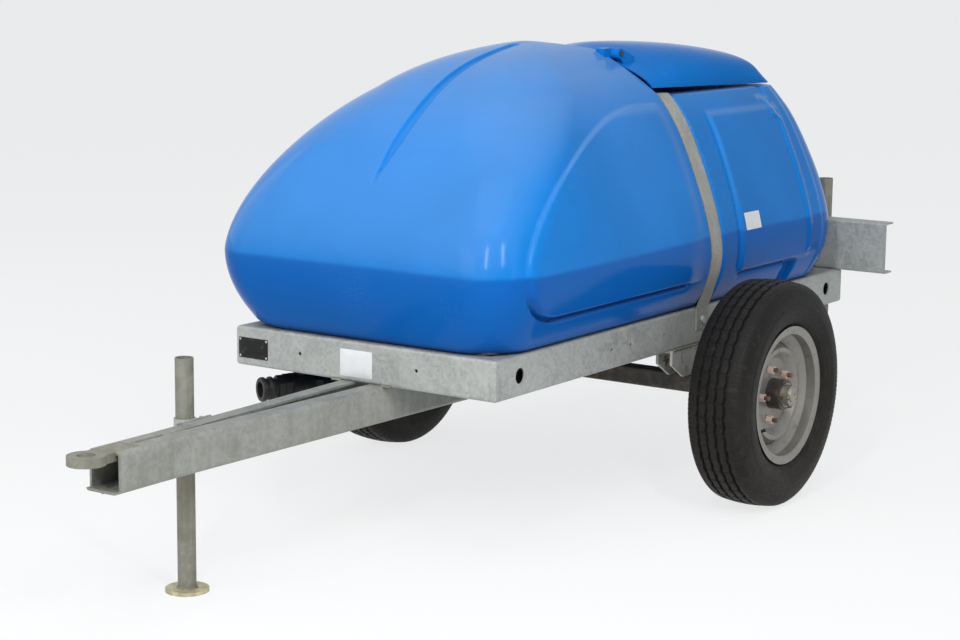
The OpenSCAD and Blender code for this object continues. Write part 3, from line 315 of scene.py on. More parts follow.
middle, corner = (-0.2, 0, 0.7), (0.48, 0.38, 0.75)
soft_box("key_box", (5.2, -1.4, 2.9), (0.2, 0, 0.7), (3.0, 3.0), 86)
soft_box("side_box", (1.4, 5.3, 2.6), middle, (1.3, 4.4), 42)
soft_box("top_box", (1.4, 0.6, 4.6), (0, 0, 0.8), (2.4, 2.4), 40)
soft_box("front_strip", (3.45, 1.52, 3.15), corner, (0.22, 1.7), 68)
soft_box("side_strip", (2.23, 2.97, 3.2), corner, (0.22, 1.7), 68)
soft_box("far_box", (0.4, -5.4, 2.8), middle, (3.4, 3.4), 36)
print("studio ready, lamps:", len(bpy.data.lights))

# %% [markdown]
# Effects that several finishes share are shader groups with named sockets. Each reads a place on
# the object and puts out a mask, a tone or a height. The first is zinc. Dipped hot, it dries in
# flat crystals a few millimetres across, each a slightly different grey, under a cloudy bloom. A
# Voronoi texture gives the crystals, and two noises the clouds and the grit.

# %% Zinc group
def new_group(name, inputs, outputs):
    """Group that reads a place and named numbers {name: default}; returns its recipe and both ends."""
    group = bpy.data.node_groups.new(name, "ShaderNodeTree")
    group.interface.new_socket("Vector", in_out="INPUT", socket_type="NodeSocketVector")
    for key, value in inputs.items():
        socket = group.interface.new_socket(key, in_out="INPUT", socket_type="NodeSocketFloat")
        socket.default_value = value
    for key in outputs:
        group.interface.new_socket(key, in_out="OUTPUT", socket_type="NodeSocketFloat")
    start, end = group.nodes.new("NodeGroupInput"), group.nodes.new("NodeGroupOutput")
    print("group", name)
    return Recipe(group), start.outputs, end.inputs


zinc, given, result = new_group("zinc_bloom", {"Crystal": 130.0, "Cloud": 9.0}, ["Tone", "Height"])
cells = zinc.node("TexVoronoi", {"Vector": given["Vector"], "Scale": given["Crystal"]})
crystal = zinc.node("SeparateColor", {"Color": cells.outputs["Color"]}).outputs
cloud = zinc.noise(given["Vector"], given["Cloud"], 6.0, 0.62)
grit = zinc.noise(given["Vector"], 420.0, 3.0)
tone = zinc.math("MULTIPLY_ADD", crystal[0], 0.34, zinc.times(cloud, 0.9))
zinc.put(result["Tone"], zinc.math("ADD", tone, zinc.times(grit, 0.16), clamp=True))
zinc.put(result["Height"], zinc.math("MULTIPLY_ADD", crystal[1], 0.5, grit))

# %% [markdown]
# Rain leaves streaks that run down and blotches that spread. Noise stretched along z makes the
# streaks, a coarse noise breaks them up, and Amount sets how much of the surface they cover.

# %% Stain group
stain, given, result = new_group("rain_stain", {"Amount": 0.5, "Size": 14.0}, ["Mask"])
down = stain.stretch(given["Vector"], (1, 1, 0.12))
streak = stain.noise(down, stain.times(given["Size"], 3.0))
blotch = stain.noise(given["Vector"], given["Size"], 5.0, 0.6)
edge = stain.math("MULTIPLY_ADD", given["Amount"], -0.26, 0.38)
cover = stain.ramp(stain.times(streak, blotch), edge, stain.math("ADD", edge, 0.14))
stain.put(result["Mask"], cover)

# %% [markdown]
# Road dirt gathers low down and on faces that look up. The group fades a noise out with height
# above the ground, from Reach down, so the foot of the prop is dirtier than its head.

# %% Dirt group
dirt, given, result = new_group("road_dirt", {"Reach": 0.5, "Amount": 0.6}, ["Mask"])
low_down = dirt.ramp(dirt.axes(given["Vector"])["Z"], given["Reach"], 0.0)
facing = dirt.axes(dirt.node("NewGeometry").outputs["Normal"])
upward = dirt.ramp(facing["Z"], 0.55, 1.0, 0.0, 0.35)
patch = dirt.ramp(dirt.noise(given["Vector"], 26.0, 6.0, 0.65), 0.3, 0.66)
cover = dirt.times(dirt.math("ADD", low_down, upward, clamp=True), given["Amount"])
dirt.put(result["Mask"], dirt.times(cover, patch, clamp=True))

# %% [markdown]
# Moulded plastic has a faint orange peel and long shrink waves. Scuffs are short pale scratches:
# a stretched noise that is cut to thin lines and kept only in patches.

# %% Moulded skin group
skin, given, result = new_group("moulded_skin", {"Peel": 320.0, "Scuff": 0.4}, ["Height", "Scuff", "Cloud"])
peel = skin.noise(given["Vector"], given["Peel"], 2.0)
wave = skin.noise(given["Vector"], 5.0, 2.0)
skin.put(result["Height"], skin.math("MULTIPLY_ADD", wave, 14.0, skin.times(peel, 0.5)))
scratch = skin.noise(skin.stretch(given["Vector"], (1, 3, 9)), 22.0, 3.0)
off_line = skin.math("ABSOLUTE", skin.math("SUBTRACT", scratch, 0.5))
patch = skin.ramp(skin.noise(given["Vector"], 4.2, 3.0), 0.56, 0.7)
scuff = skin.times(skin.ramp(off_line, 0.012, 0.0), patch)
skin.put(result["Scuff"], skin.times(scuff, given["Scuff"]))
skin.put(result["Cloud"], skin.noise(given["Vector"], 2.6, 4.0, 0.5))

# %% [markdown]
# A finish is one material: a Principled shader whose colour is a stack of layers, each mixed in
# by a mask from a group. The first helper starts a material and hands back its recipe, its
# shader's sockets and the Object coordinates that every pattern reads. The second closes it.

# %% Finish helpers
mud_brown, dry_mud, rust_brown = (0.19, 0.165, 0.115), (0.16, 0.135, 0.095), (0.16, 0.06, 0.022)


def new_finish(name, metal, gloss):
    """Material with a plain metal share and gloss level, and nothing wired yet."""
    material = bpy.data.materials.new(name)
    material.use_nodes = True
    mix = Recipe(material.node_tree)
    shader = mix.tree.nodes["Principled BSDF"].inputs
    mix.put(shader["Metallic"], metal)
    mix.put(shader["Specular IOR Level"], gloss)
    return material, mix, shader, mix.node("TexCoord").outputs["Object"]


def wire_finish(mix, shader, colour, rough, height, strength, distance):
    """Wires the finished colour, the roughness and a bump of a height into the shader."""
    mix.put(shader["Base Color"], colour)
    mix.put(shader["Roughness"], rough)
    relief = mix.node("Bump", {"Strength": strength, "Distance": distance, "Height": height})
    mix.put(shader["Normal"], relief.outputs["Normal"])


print("finish helpers ready")

# %% [markdown]
# Galvanised steel is a dull grey with crystals, pale bloom, brown-grey rain marks and dirt near
# the ground. It is about a third metal to the eye: a full mirror metal would look like chrome.

# %% Galvanised finish
def galvanised_finish(name, grey, stain_amount, dirt_reach, rust=0.0, mark=0.26):
    """Crystals from 0.8 to 1.18 of a grey, rain marks, mud from the ground up, and spots of rust."""
    material, mix, shader, place = new_finish(name, 0.35, 0.4)
    bloom = mix.use(zinc, place)
    marks = mix.use(stain, place, Amount=stain_amount)["Mask"]
    mud = mix.use(dirt, place, Reach=dirt_reach, Amount=0.75)["Mask"]
    grey = np.array(grey)
    colour = mix.layer(mix.ramp(bloom["Tone"], 0.25, 1.0), grey * 0.8, np.minimum(grey * 1.18, 0.9))
    colour = mix.layer(mix.times(marks, mark), colour, grey * (0.6, 0.57, 0.5))
    colour = mix.layer(mix.times(mud, 0.8), colour, mud_brown)
    if rust:
        spots = mix.ramp(mix.noise(place, 38.0, 6.0, 0.7), 0.72 - rust, 0.78 - rust)
        colour = mix.layer(mix.times(spots, 0.85), colour, rust_brown)
    rough = mix.ramp(bloom["Tone"], 0.25, 0.9, 0.42, 0.66)
    wire_finish(mix, shader, colour, rough, bloom["Height"], 0.12, 0.0008)
    return material


galvanised = galvanised_finish("galvanised", (0.355, 0.37, 0.355), 0.4, 0.42)
galvanised_bar = galvanised_finish("galvanised_bar", (0.275, 0.285, 0.262), 0.7, 0.5)
galvanised_tube = galvanised_finish("galvanised_tube", (0.228, 0.231, 0.197), 0.8, 0.75, mark=0.55)
galvanised_strap = galvanised_finish("galvanised_strap", (0.31, 0.31, 0.285), 0.8, 0.3)
galvanised_foot = galvanised_finish("galvanised_foot", (0.56, 0.53, 0.34), 0.5, 0.02)
galvanised_rusty = galvanised_finish("galvanised_rusty", (0.42, 0.43, 0.41), 0.8, 0.3, 0.16)
print("galvanised finishes ready")

# %% [markdown]
# The tank's blue polyethylene lets a little light in, so the filled part below the water line
# looks darker. The line is a step in height. Paler clouds and scuffs go on top, with painted shade
# at the foot where it sits on the frame, and then a pale film on faces that look up or ahead,
# partly dust and partly a painted sheen of the sky. The film thins inside the groove up the front,
# in a wedge that narrows to the groove's foot.

# %% Tank blue
# the second and third heights bound the painted shade at the tank's foot
water_line, foot_shade_top, foot_shade_low = 0.697, 0.54, 0.502
groove_foot_z, groove_head_z, groove_half = 0.862, 0.976, 0.017
scuff_pale, dust_grey = (0.2, 0.4, 0.75), (0.3, 0.38, 0.5)
# the pale haze is partly dust and partly a painted sky sheen; the dark blue is painted shade at the foot
dust_and_sheen_haze, foot_shade_blue = (0.28, 0.4, 0.6), (0.01, 0.035, 0.12)


def dust_and_sheen_film(mix, axis, most):
    """Pale film, part dust and part painted sky sheen: up to most on faces that look up, half of it on
    those that look ahead, less inside the groove.
    """
    facing = mix.axes(mix.node("NewGeometry").outputs["Normal"])
    upward = mix.ramp(facing["Z"], 0.5, 1.0, 0.0, most)
    forward_up = mix.math("MULTIPLY_ADD", facing["X"], 0.62, mix.times(facing["Z"], 0.78))
    ahead = mix.ramp(forward_up, 0.5, 1.0, 0.0, most * 0.5)
    half = mix.ramp(axis["Z"], groove_foot_z, groove_head_z, -0.004, groove_half, smooth=False)
    beside = mix.math("SUBTRACT", mix.math("ABSOLUTE", axis["Y"]), half)
    return mix.times(mix.math("MAXIMUM", upward, ahead), mix.ramp(beside, -0.003, 0.0, 0.35))


def tank_finish(name, upper, gloss, lower=None, dust_sheen_amount=0.0):
    """Clouded blue with scuffs and dust; lower is the blue below the water line, over a painted shade at
    the foot, and a share of a film that is part dust, part painted sky sheen.
    """
    material, mix, shader, place = new_finish(name, 0.0, gloss)
    moulded = mix.use(skin, place, Scuff=0.2)
    axis = mix.axes(place)
    rough = mix.math("MULTIPLY_ADD", moulded["Cloud"], 0.08, 0.1)
    upper = np.array(upper)
    colour = mix.layer(mix.ramp(moulded["Cloud"], 0.3, 0.7), upper * 0.9, upper * 1.08)
    if lower:
        wavy = mix.math("MULTIPLY_ADD", mix.noise(place, 3.0, 2.0), 0.012, axis["Z"])
        colour = mix.layer(mix.ramp(wavy, water_line + 0.012, water_line - 0.002), colour, lower)
        # painted shade: the foot darkens towards the frame, where the tank sits on it
        foot_shade = mix.ramp(axis["Z"], foot_shade_top, foot_shade_low)
        colour = mix.layer(mix.times(foot_shade, 0.35), colour, foot_shade_blue)
        rough = mix.math("MULTIPLY_ADD", foot_shade, 0.35, rough)
    colour = mix.layer(moulded["Scuff"], colour, scuff_pale)
    dust = mix.use(dirt, place, Reach=0.3, Amount=0.2)["Mask"]
    colour = mix.layer(mix.times(dust, 0.22), colour, dust_grey)
    # pale film, partly dust and partly a painted sheen of the sky, on faces that look up or ahead
    if dust_sheen_amount:
        colour = mix.layer(dust_and_sheen_film(mix, axis, dust_sheen_amount), colour, dust_and_sheen_haze)
    rough = mix.math("ADD", rough, mix.times(dust, 0.3))
    wire_finish(mix, shader, colour, rough, moulded["Height"], 0.06, 0.0005)
    return material


# the tank's film, 0.26, is part dust and part painted sky sheen; the lid gets none
tank_blue = tank_finish("tank_blue", (0.008, 0.168, 0.52), 0.055, lower=(0.004, 0.1, 0.385), dust_sheen_amount=0.26)
lid_blue = tank_finish("lid_blue", (0.005, 0.155, 0.52), 0.01)
print("blue finishes ready")

# %% [markdown]
# Rubber, paint and bare iron are one recipe with different numbers: a base tone that drifts, a
# second colour in patches for wear or rust, and road dirt on top.

# %% Worn finishes
def worn_finish(name, base, patch, cover, rough, metal=0.0, dirt_amount=0.5, gloss=0.5):
    """Base colour that drifts by a fifth, patches that cover a share of it, and dirt from the ground."""
    material, mix, shader, place = new_finish(name, metal, gloss)
    fine = mix.noise(place, 180.0, 4.0, 0.6)
    base = np.array(base)
    colour = mix.layer(mix.noise(place, 11.0, 5.0, 0.6), base * 0.8, base * 1.2)
    mask = mix.ramp(mix.noise(place, 46.0, 6.0, 0.66), 0.62 - cover * 0.4, 0.7 - cover * 0.4)
    colour = mix.layer(mask, colour, patch)
    mud = mix.use(dirt, place, Reach=0.6, Amount=dirt_amount)["Mask"]
    colour = mix.layer(mud, colour, dry_mud)
    grain = mix.ramp(mix.math("MAXIMUM", fine, mask), 0.2, 0.8, rough - 0.08, rough + 0.14)
    wire_finish(mix, shader, colour, grain, fine, 0.25, 0.0004)
    return material


rubber = worn_finish("tyre_rubber", (0.0095, 0.009, 0.0085), (0.02, 0.018, 0.015), 0.12, 0.52,
                     dirt_amount=0.08, gloss=0.14)
wheel_silver = worn_finish("wheel_silver", (0.25, 0.242, 0.222), (0.19, 0.172, 0.145), 0.1, 0.42, 0.5,
                           dirt_amount=0.22)
hub_black = worn_finish("hub_black", (0.022, 0.022, 0.022), (0.05, 0.04, 0.03), 0.2, 0.38, 0.2)
nut_cream = worn_finish("nut_cream", (0.66, 0.52, 0.43), (0.4, 0.24, 0.15), 0.12, 0.55, dirt_amount=0.15)
stud_rust = worn_finish("stud_rust", (0.2, 0.1, 0.055), (0.1, 0.04, 0.02), 0.4, 0.7, 0.2)
cap_grey = worn_finish("cap_grey", (0.3, 0.29, 0.25), (0.14, 0.1, 0.06), 0.25, 0.4, 0.7)
black_moulded = worn_finish("black_moulded", (0.009, 0.0095, 0.011), (0.02, 0.02, 0.02), 0.1, 0.4,
                            dirt_amount=0.08, gloss=0.25)
axle_black = worn_finish("axle_black", (0.03, 0.03, 0.03), (0.11, 0.07, 0.045), 0.24, 0.6, dirt_amount=0.6)
bare_steel = worn_finish("bare_steel", (0.42, 0.41, 0.39), (0.2, 0.15, 0.1), 0.2, 0.36, 0.85)
print("worn finishes ready")

# %% [markdown]
# Every solid gets its finish by the slot that its record names. The lid, the strap, the drawbar,
# the props and some fixings have finishes of their own: the lid holds no water, and the others
# are handled, rub or rust.

# %% Finishes on the solids
slot_finish = {
    "galvanised": galvanised, "tank_plastic": tank_blue, "black_plastic": black_moulded,
    "tyre_rubber": rubber, "valve_rubber": rubber, "wheel_steel": wheel_silver, "hub_iron": hub_black,
    "bright_steel": bare_steel, "rusty_steel": stud_rust, "nut_paint": nut_cream, "cap_steel": cap_grey,
    "axle_paint": axle_black,
}
own_finish = {
    "lid": lid_blue, "tow_eye": galvanised_tube, "front_prop_tube": galvanised_tube,
    "front_prop_foot": galvanised_foot, "tank_strap": galvanised_strap, "strap_bolts": galvanised_rusty,
    "hinge_pins": hub_black,
}
for word in ("left", "right"):
    own_finish["drawbar_" + word] = galvanised_bar
    own_finish["axle_bracket_" + word] = galvanised_rusty
    own_finish["rear_prop_" + word] = own_finish["rear_foot_" + word] = galvanised_tube
node_slot = {row["node"]: row["material_slot"] for row in frame["record"]["subparts"]}
for name, solid in frame["nodes"].items():
    solid.data.materials.clear()
    solid.data.materials.append(own_finish.get(name) or slot_finish[node_slot[name]])
print("finished solids:", len(frame["nodes"]))

# %% [markdown]
# The tank is a rotomoulded bubble: a tall hood in front, a lower tail behind with a flat deck
# under the lid. It is made of level rings that run from the middle of the nose along one side to
# the middle of the tail, then back on the other side. A subdivided box could be pushed into this
# shape by hand, but rings from formulas keep the groove, the raised panels and the strap's
# channel exactly where the solid has them.

# %% Tank sizes
frame_top, tank_top, bulge_z, deck_z = 502.0, 1202.0, 695.0, 1055.0
bulge_half, tank_front, tank_rear = 458.0, 1003.0, 815.0
nose_rake, crown_roll, tail_rake, rake_power, roll_power = 525.0, 235.0, 245.0, 1.7, 14
foot_inset, foot_round = 66.0, 16.0
hood_x, hood_foot_x, hood_rake, deck_lift = 12.0, 7.0, 0.6, 3.0
lip_x, lip_z, lip_slope, lip_soft = 75.0, 1180.0, 6.82, 8.0


def step(a, b, v):
    """Smooth step: t = (v - a) / (b - a) held to 0..1, then t * t * (3 - 2 * t)."""
    t = np.clip((v - a) / (b - a), 0, 1)
    return t * t * (3 - 2 * t)


def rise(z):
    """0 at the widest line and below, 1 at the crown."""
    return np.clip((z - bulge_z) / (tank_top - bulge_z), 0, 1)


def foot(z):
    """How far the foot is drawn in: foot_inset * sink ** 2, and a parabola rounds the very edge."""
    sink = np.clip((bulge_z - z) / (bulge_z - frame_top), 0, 1)
    return foot_inset * sink ** 2 + foot_round * np.clip(1 - (z - frame_top) / foot_round, 0, 1) ** 2


def half_width(z):
    """Quarter ellipse above the widest line: bulge_half * sqrt(1 - rise ** 2), less the foot."""
    return bulge_half * np.sqrt(1 - rise(z) ** 2) - foot(z)


def nose_x(z):
    """Sloping front: tank_front - nose_rake * rise ** 1.7 - crown_roll * rise ** 14, less the foot."""
    return tank_front - nose_rake * rise(z) ** rake_power - crown_roll * rise(z) ** roll_power - foot(z)


def tail_x(z):
    """Sloping back: -tank_rear + tail_rake * rise ** 1.7, plus the foot."""
    return -tank_rear + tail_rake * rise(z) ** rake_power + foot(z)


def hood_back_x(z):
    """Raked back of the hood and its rolled lip: the soft maximum of two straight lines in z."""
    rake = hood_rake * (z - deck_z)
    lip = lip_x + lip_slope * (z - lip_z)
    return hood_foot_x + (rake + lip + np.sqrt((rake - lip) ** 2 + lip_soft ** 2)) / 2


print("nose at", nose_x(bulge_z), "half width at the deck", round(float(half_width(deck_z)), 1))

# %% [markdown]
# Moulded features are depths taken off the side: the shoulders draw in towards the strap, the
# hood's panel stands out behind a curved edge, and the tail steps out at two upright swages with
# a pocket between their feet. Each is a product of smooth steps, rounded as a mould is.

# %% Tank features
waist, waist_run, panel_h = 58.0, 700.0, 8.0
strap_fore, strap_aft, strap_groove = 14.0, -56.0, 11.0
panel_x, panel_long, panel_tall, lean = 150.0, 762.0, 352.0, 1.78
corner_x, corner_long, corner_tall = 765.0, 140.0, 108.0
swage_x, swage_top, swage_lean = -171.0, 1028.0, 0.058
rear_swage_x, jog_z, jog = -541.0, 968.0, 22.0
crease_half, crease_deep, crease_foot = 16.0, 10.0, 0.335


def shoulder(z):
    """Full draw-in of the shoulders at a height, fading where the side turns into the crown."""
    fade = np.clip(half_width(z) / (bulge_half / 2), 0, 1)
    return waist * step(bulge_z - 150, bulge_z + 240, z) * (1 - rise(z) / 4) * fade


def waisted(x, z):
    """Draw-in at a place: the whole shoulder at the strap, none from waist_run forward."""
    return shoulder(z) * (1 - step(0, waist_run, x))


def rib(v, middle, half):
    """Rounded rib: 1 on its middle line, 0 at half widths to both sides."""
    return step(half, 0, np.abs(v - middle))


def side_panel(x, z):
    """Raised panel of the hood: a step at d, the distance inside its edge, less a groove at its foot.

    Above the widest line the edge is a superellipse, along ** lean + up ** lean = 1. Below it an
    ellipse rounds the front corner. Either way d is (1 - level) / slope of the level.
    """
    along, up = np.abs(x - panel_x) / panel_long, np.abs(z - bulge_z) / panel_tall
    over = np.maximum((along ** lean + up ** lean) ** (1 / lean), 0.05)
    over_slope = np.hypot((along / over) ** (lean - 1) / panel_long, (up / over) ** (lean - 1) / panel_tall)
    ahead, below = np.maximum(x - corner_x, 0), z - bulge_z
    under = np.hypot(ahead / corner_long, below / corner_tall)
    under_slope = np.hypot(ahead / corner_long ** 2, below / corner_tall ** 2) / np.maximum(under, 0.05)
    d = np.where(z > bulge_z, (1 - over) / over_slope, (1 - under) / under_slope)
    fade = step(40, 150, x) + step(640, 760, z) * step(24, 110, x) * (1 - step(40, 150, x))
    groove = 18 * step(7.5, 4.5, np.abs(d + 6.5)) * step(112, 124, x) * step(668, 600, z)
    return panel_h * step(-2.5, 3.5, d) * fade * step(deck_z - 2, deck_z - 34, z) - groove


def tail_raise(x, z):
    """Tail panel and rib behind a leaning swage, a jogged rear swage, less pocket, ledge and groove."""
    behind = x - swage_x - swage_lean * (swage_top - z)
    panel = panel_h * step(8, -9, behind) * step(578, 592, z) * step(1014, 994, z) * step(-580, -556, x)
    upright = 6 * rib(behind, -3, 11) * step(582, 600, z) * step(1012, 998, z)
    beyond = x - rear_swage_x - jog * step(jog_z, jog_z + 13, z)
    rear = 7 * step(12, 0, beyond) * step(-34, 0, beyond) * step(596, 612, z) * step(1026, 1014, z)
    pocket = 22 * step(-424, -462, x) * step(-512, -500, x) * step(506, 522, z) * step(582, 566, z)
    ledge = 10 * step(-484, -498, x) * step(-570, -556, x) * step(1024, 1036, z)
    groove = 13 * rib(z, 579, 8) * step(-4, -16, behind) * step(-474, -460, x)
    return panel + upright + rear - pocket - ledge - groove


def side_depth(x, z):
    """Depth off the side, front to back: waist and panel, the strap's channel, then the tail."""
    fore = waisted(x, z) - side_panel(x, z)
    channel = shoulder(z) + strap_groove
    aft = shoulder(z) - tail_raise(x, z)
    depth = fore + (channel - fore) * step(strap_fore + 4, strap_fore - 2, x)
    return depth + (aft - channel) * step(strap_aft + 2, strap_aft - 4, x)


def crease(y, z):
    """Tapered groove up the front: depth along x, square to the slope, inside a half width."""
    run = (nose_x(z + 1) - nose_x(z - 1)) / 2
    half = crease_half * np.clip((rise(z) - crease_foot) / 0.22, 0.06, 1)
    ends = step(crease_foot, 0.43, rise(z)) * step(0.992, 0.972, rise(z))
    return crease_deep * ends * np.minimum(np.sqrt(1 + run ** 2), 4) * step(1.08 * half, 0.5 * half, y)


print("shoulder depth at the deck", round(float(shoulder(deck_z)), 1))

# %% [markdown]
# A ring is a rounded rectangle in plan. Its front half has the same count of points at every
# level, so the hood grows straight out of the body. Behind the strap the rings of the body follow
# the tail, and those of the hood cross its raked back. The deck is the strip between the two.

# %% Tank rings
face_n, turn_n, side_n, edge_n, run_n, tail_turn_n, tail_back_n = 28, 44, 196, 8, 4, 18, 12
flank_end = -574.0
flank_stations = np.concatenate([
    np.linspace(12, 3, 6), np.linspace(-4, -50, 6), np.linspace(-53, -62, 6), np.linspace(-70, -130, 7),
    np.linspace(-134, -192, 24), np.linspace(-200, -418, 24), np.linspace(-422, -516, 33),
    np.linspace(-519, flank_end, 21),
])
front_n = face_n + turn_n + side_n + edge_n
aft_n = len(flank_stations) + run_n + tail_turn_n + tail_back_n


def front_part(z, hood):
    """Nose, corner and side of each level in z, (levels, points, xy); hood rings end at the raked back."""
    z = z[:, None]
    w, nose, back = half_width(z), nose_x(z), hood_back_x(z)
    r = np.minimum(130 + 80 * rise(z) / rise(deck_z), 0.75 * w)
    if hood:
        r = np.minimum(r, 0.8 * (nose - back))
    depth = waisted if hood else side_depth
    y = np.linspace(0, 1, face_n, endpoint=False)[None, :] ** 1.7 * (w - r)
    cut = crease(y, z)
    if hood:
        cut = np.minimum(cut, 0.5 * (nose - back))
    face = points_of(nose - cut, y)
    a = np.linspace(0, np.pi / 2, turn_n)[None, :]
    x = nose - r + r * np.cos(a)
    turn = points_of(x, w - r + r * np.sin(a) - depth(x, z) * np.sin(a))
    end = back if hood else np.full_like(z, hood_x)
    curl = np.minimum(7.0, 0.3 * (nose - r - end)) if hood else 18.0
    x = nose - r + (end + curl - nose + r) * np.linspace(0, 1, side_n + 1)[None, 1:]
    side = points_of(x, w - depth(x, z))
    if hood:
        b = np.linspace(0, np.pi / 2, edge_n + 1)[None, 1:]
        last = side[:, -1:, 1]
        low = np.minimum(curl, 0.8 * last)
        edge = points_of(end + curl - curl * np.sin(b), last - low + low * np.cos(b))
    else:
        x = end + curl * np.linspace(1, 0, edge_n + 1)[None, 1:]
        edge = points_of(x, w - depth(x, z))
    return np.concatenate([face, turn, side, edge], axis=1)


def tail_part(z):
    """Strap channel, flank, rounded corner and back of each level in z."""
    z = z[:, None]
    w, tail = half_width(z), tail_x(z)
    r = 0.72 * (flank_end - tail)
    x = flank_stations[None, :]
    flank = points_of(x, w - side_depth(x, z))
    wide = w - side_depth(flank_end, z)
    x = flank_end + (tail + r - flank_end) * np.linspace(0, 1, run_n + 1)[None, 1:]
    run = points_of(x, wide)
    a = np.linspace(np.pi / 2, np.pi, tail_turn_n)[None, :]
    turn = points_of(tail + r + r * np.cos(a), wide - r + r * np.sin(a))
    y = (wide - r) * np.linspace(1, 0, tail_back_n + 1)[None, 1:]
    back = points_of(tail, y)
    return np.concatenate([flank, run, turn, back], axis=1)


def with_height(part, z):
    """Adds the level's height to its (levels, points, xy)."""
    return points_of(part[..., 0], part[..., 1], z[:, None])


body_z = np.concatenate([
    frame_top + np.array([0, 0.4, 1.4, 3, 5, 8, 12, 16, 22, 32, 44, 56, 66]),
    np.linspace(574, 600, 12), np.linspace(606, bulge_z, 14), np.linspace(700, deck_z - 19, 70),
    np.linspace(deck_z - 15, deck_z, 7),
])
hood_low, hood_high = deck_z + deck_lift, tank_top - 0.4
hood_z = hood_low + (hood_high - hood_low) * (1 - (1 - np.linspace(0, 1, 44)) ** 2.2)
print("rings:", len(body_z) + len(hood_z), "points round:", 2 * (front_n + aft_n) - 2)

# %% [markdown]
# The skin is two pieces that meet under the strap, where nobody sees the seam, so each stays
# small enough to handle: the front with the hood's sides, and the back with the deck.

# %% Tank skin
def tank_rings():
    """Half rings from foot to crown: body, then a deck strip that rolls from rim to hood, then hood."""
    body = with_height(np.concatenate([front_part(body_z, False), tail_part(body_z)], axis=1), body_z)
    front = with_height(front_part(hood_z, True), hood_z)
    across = front[:, -1:, 1] * (1 - np.arange(1, aft_n + 1)[None, :] / aft_n)
    back = points_of(front[:, -1:, 0], across, hood_z[:, None])
    hood = np.concatenate([front, back], axis=1)
    t = np.array([0.006, 0.016, 0.034, 0.065, 0.12, 0.25, 0.45, 0.65, 0.82, 0.93, 0.98])[:, None, None]
    deck = body[-1:] + (hood[:1] - body[-1:]) * t
    deck[..., 2] = deck_z + deck_lift * (1 - (1 - t[..., 0]) ** 26)
    deck[:, :front_n, 2] = deck_z + deck_lift * t[..., 0]
    return np.concatenate([body, deck, hood], axis=0)


def tank_sheet(name, half):
    """One piece of half rings and their mirror image, closed at the foot and the crown by fans."""
    rings = np.concatenate([half[:, ::-1] * np.array([1, -1, 1]), half], axis=1)
    rows, cols = rings.shape[:2]
    points = np.concatenate([rings.reshape(-1, 3), rings[0].mean(0)[None], rings[-1].mean(0)[None]])
    faces = grid_faces(rows, cols)
    faces += fan_faces(np.arange(cols)[::-1], rows * cols)
    faces += fan_faces((rows - 1) * cols + np.arange(cols), rows * cols + 1)
    add_piece(name, points, faces, "chassis", "tank_plastic", tank_blue, sharp=0, stands_for="tank_shell")


half = tank_rings()
tank_sheet("tank_front", half[:, 1:front_n])
tank_sheet("tank_back", half[:, front_n - 1:-1][:, ::-1])

# %% [markdown]
# The filler neck and the two hinge lugs stand on that skin. The neck is a turned profile: its
# section goes up the outside, over a rounded rim and down the bore. The lugs are an outline
# carried across, rounded at the pin.

# %% Neck and lugs
neck_x, neck_r, neck_wall, neck_up = -330.0, 114.0, 4.0, 50.0
hinge_up, hinge_back, pin_r, lug_long, lug_y, lug_half = 113.0, 20.0, 14.0, 42.0, 137.0, 13.0


def turned(section, centre, turns=96):
    """Surface of revolution about z: (r cos a, r sin a, z) for each (r, z) of a closed section."""
    r, z = np.asarray(section, float).T
    a = full_turn(turns)[:, None]
    points = points_of(r * np.cos(a), r * np.sin(a), z).reshape(-1, 3) + np.array(centre)
    return points, grid_faces(turns, len(r), wrap_cols=True, wrap_rows=True)


def carried(outline, low, high):
    """Closed outline in x and z carried along y from low to high, with capped ends."""
    x, z = np.asarray(outline, float).T
    n = len(x)
    points = points_of(x, np.array([[low], [high]]), z).reshape(-1, 3)
    return points, grid_faces(2, n, wrap_cols=True) + end_faces(2, n)


def pair(outline, middle, half):
    """An outline carried across two places, at middle on the left and on the right."""
    return [carried(outline, s * middle - half, s * middle + half) for s in (-1, 1)]


bend = np.linspace(0, np.pi, 9)
rim_r, rim_z = neck_r + neck_wall * np.cos(bend), deck_z + neck_up - neck_wall + neck_wall * np.sin(bend)
neck = [(neck_r + neck_wall, deck_z - 4), *zip(rim_r, rim_z), (neck_r - neck_wall, deck_z - 4)]
add_piece("filler_neck", *turned(neck, (neck_x, 0, 0)), "chassis", "tank_plastic", lid_blue,
          stands_for="tank_shell")
hinge_z = deck_z + hinge_up
hinge_x = hood_foot_x + hood_rake * hinge_up - hinge_back
curl = np.linspace(np.pi / 2, 3 * np.pi / 2, 13)
lug = [(hinge_x + lug_long, hinge_z + pin_r),
       *zip(hinge_x + pin_r * np.cos(curl), hinge_z + pin_r * np.sin(curl)),
       (hinge_x + lug_long, hinge_z - pin_r)]
add_piece("hinge_lugs", *gather(pair(lug, lug_y, lug_half)), "chassis", "tank_plastic", lid_blue,
          stands_for="tank_shell")

# %% [markdown]
# The lid is a crowned shell whose cross-section is a superellipse: leaner at the hinge, where it
# follows the hood's round back, and fuller with a soft shoulder towards the tail. Along its length
# the crown runs nearly level and dives at the tail. Outer and inner skins are two calls of one
# function, joined by a strip round the rim. Two ears hold it to the pins.

# %% Lid
lid_half, lid_wall, lid_tail, lid_corner, lid_up = 255.0, 5.0, -678.0, 48.0, 134.0
lid_lean, lid_full = 1.6, 2.4
ear_long, ear_y, ear_half = 70.0, 163.5, 13.0


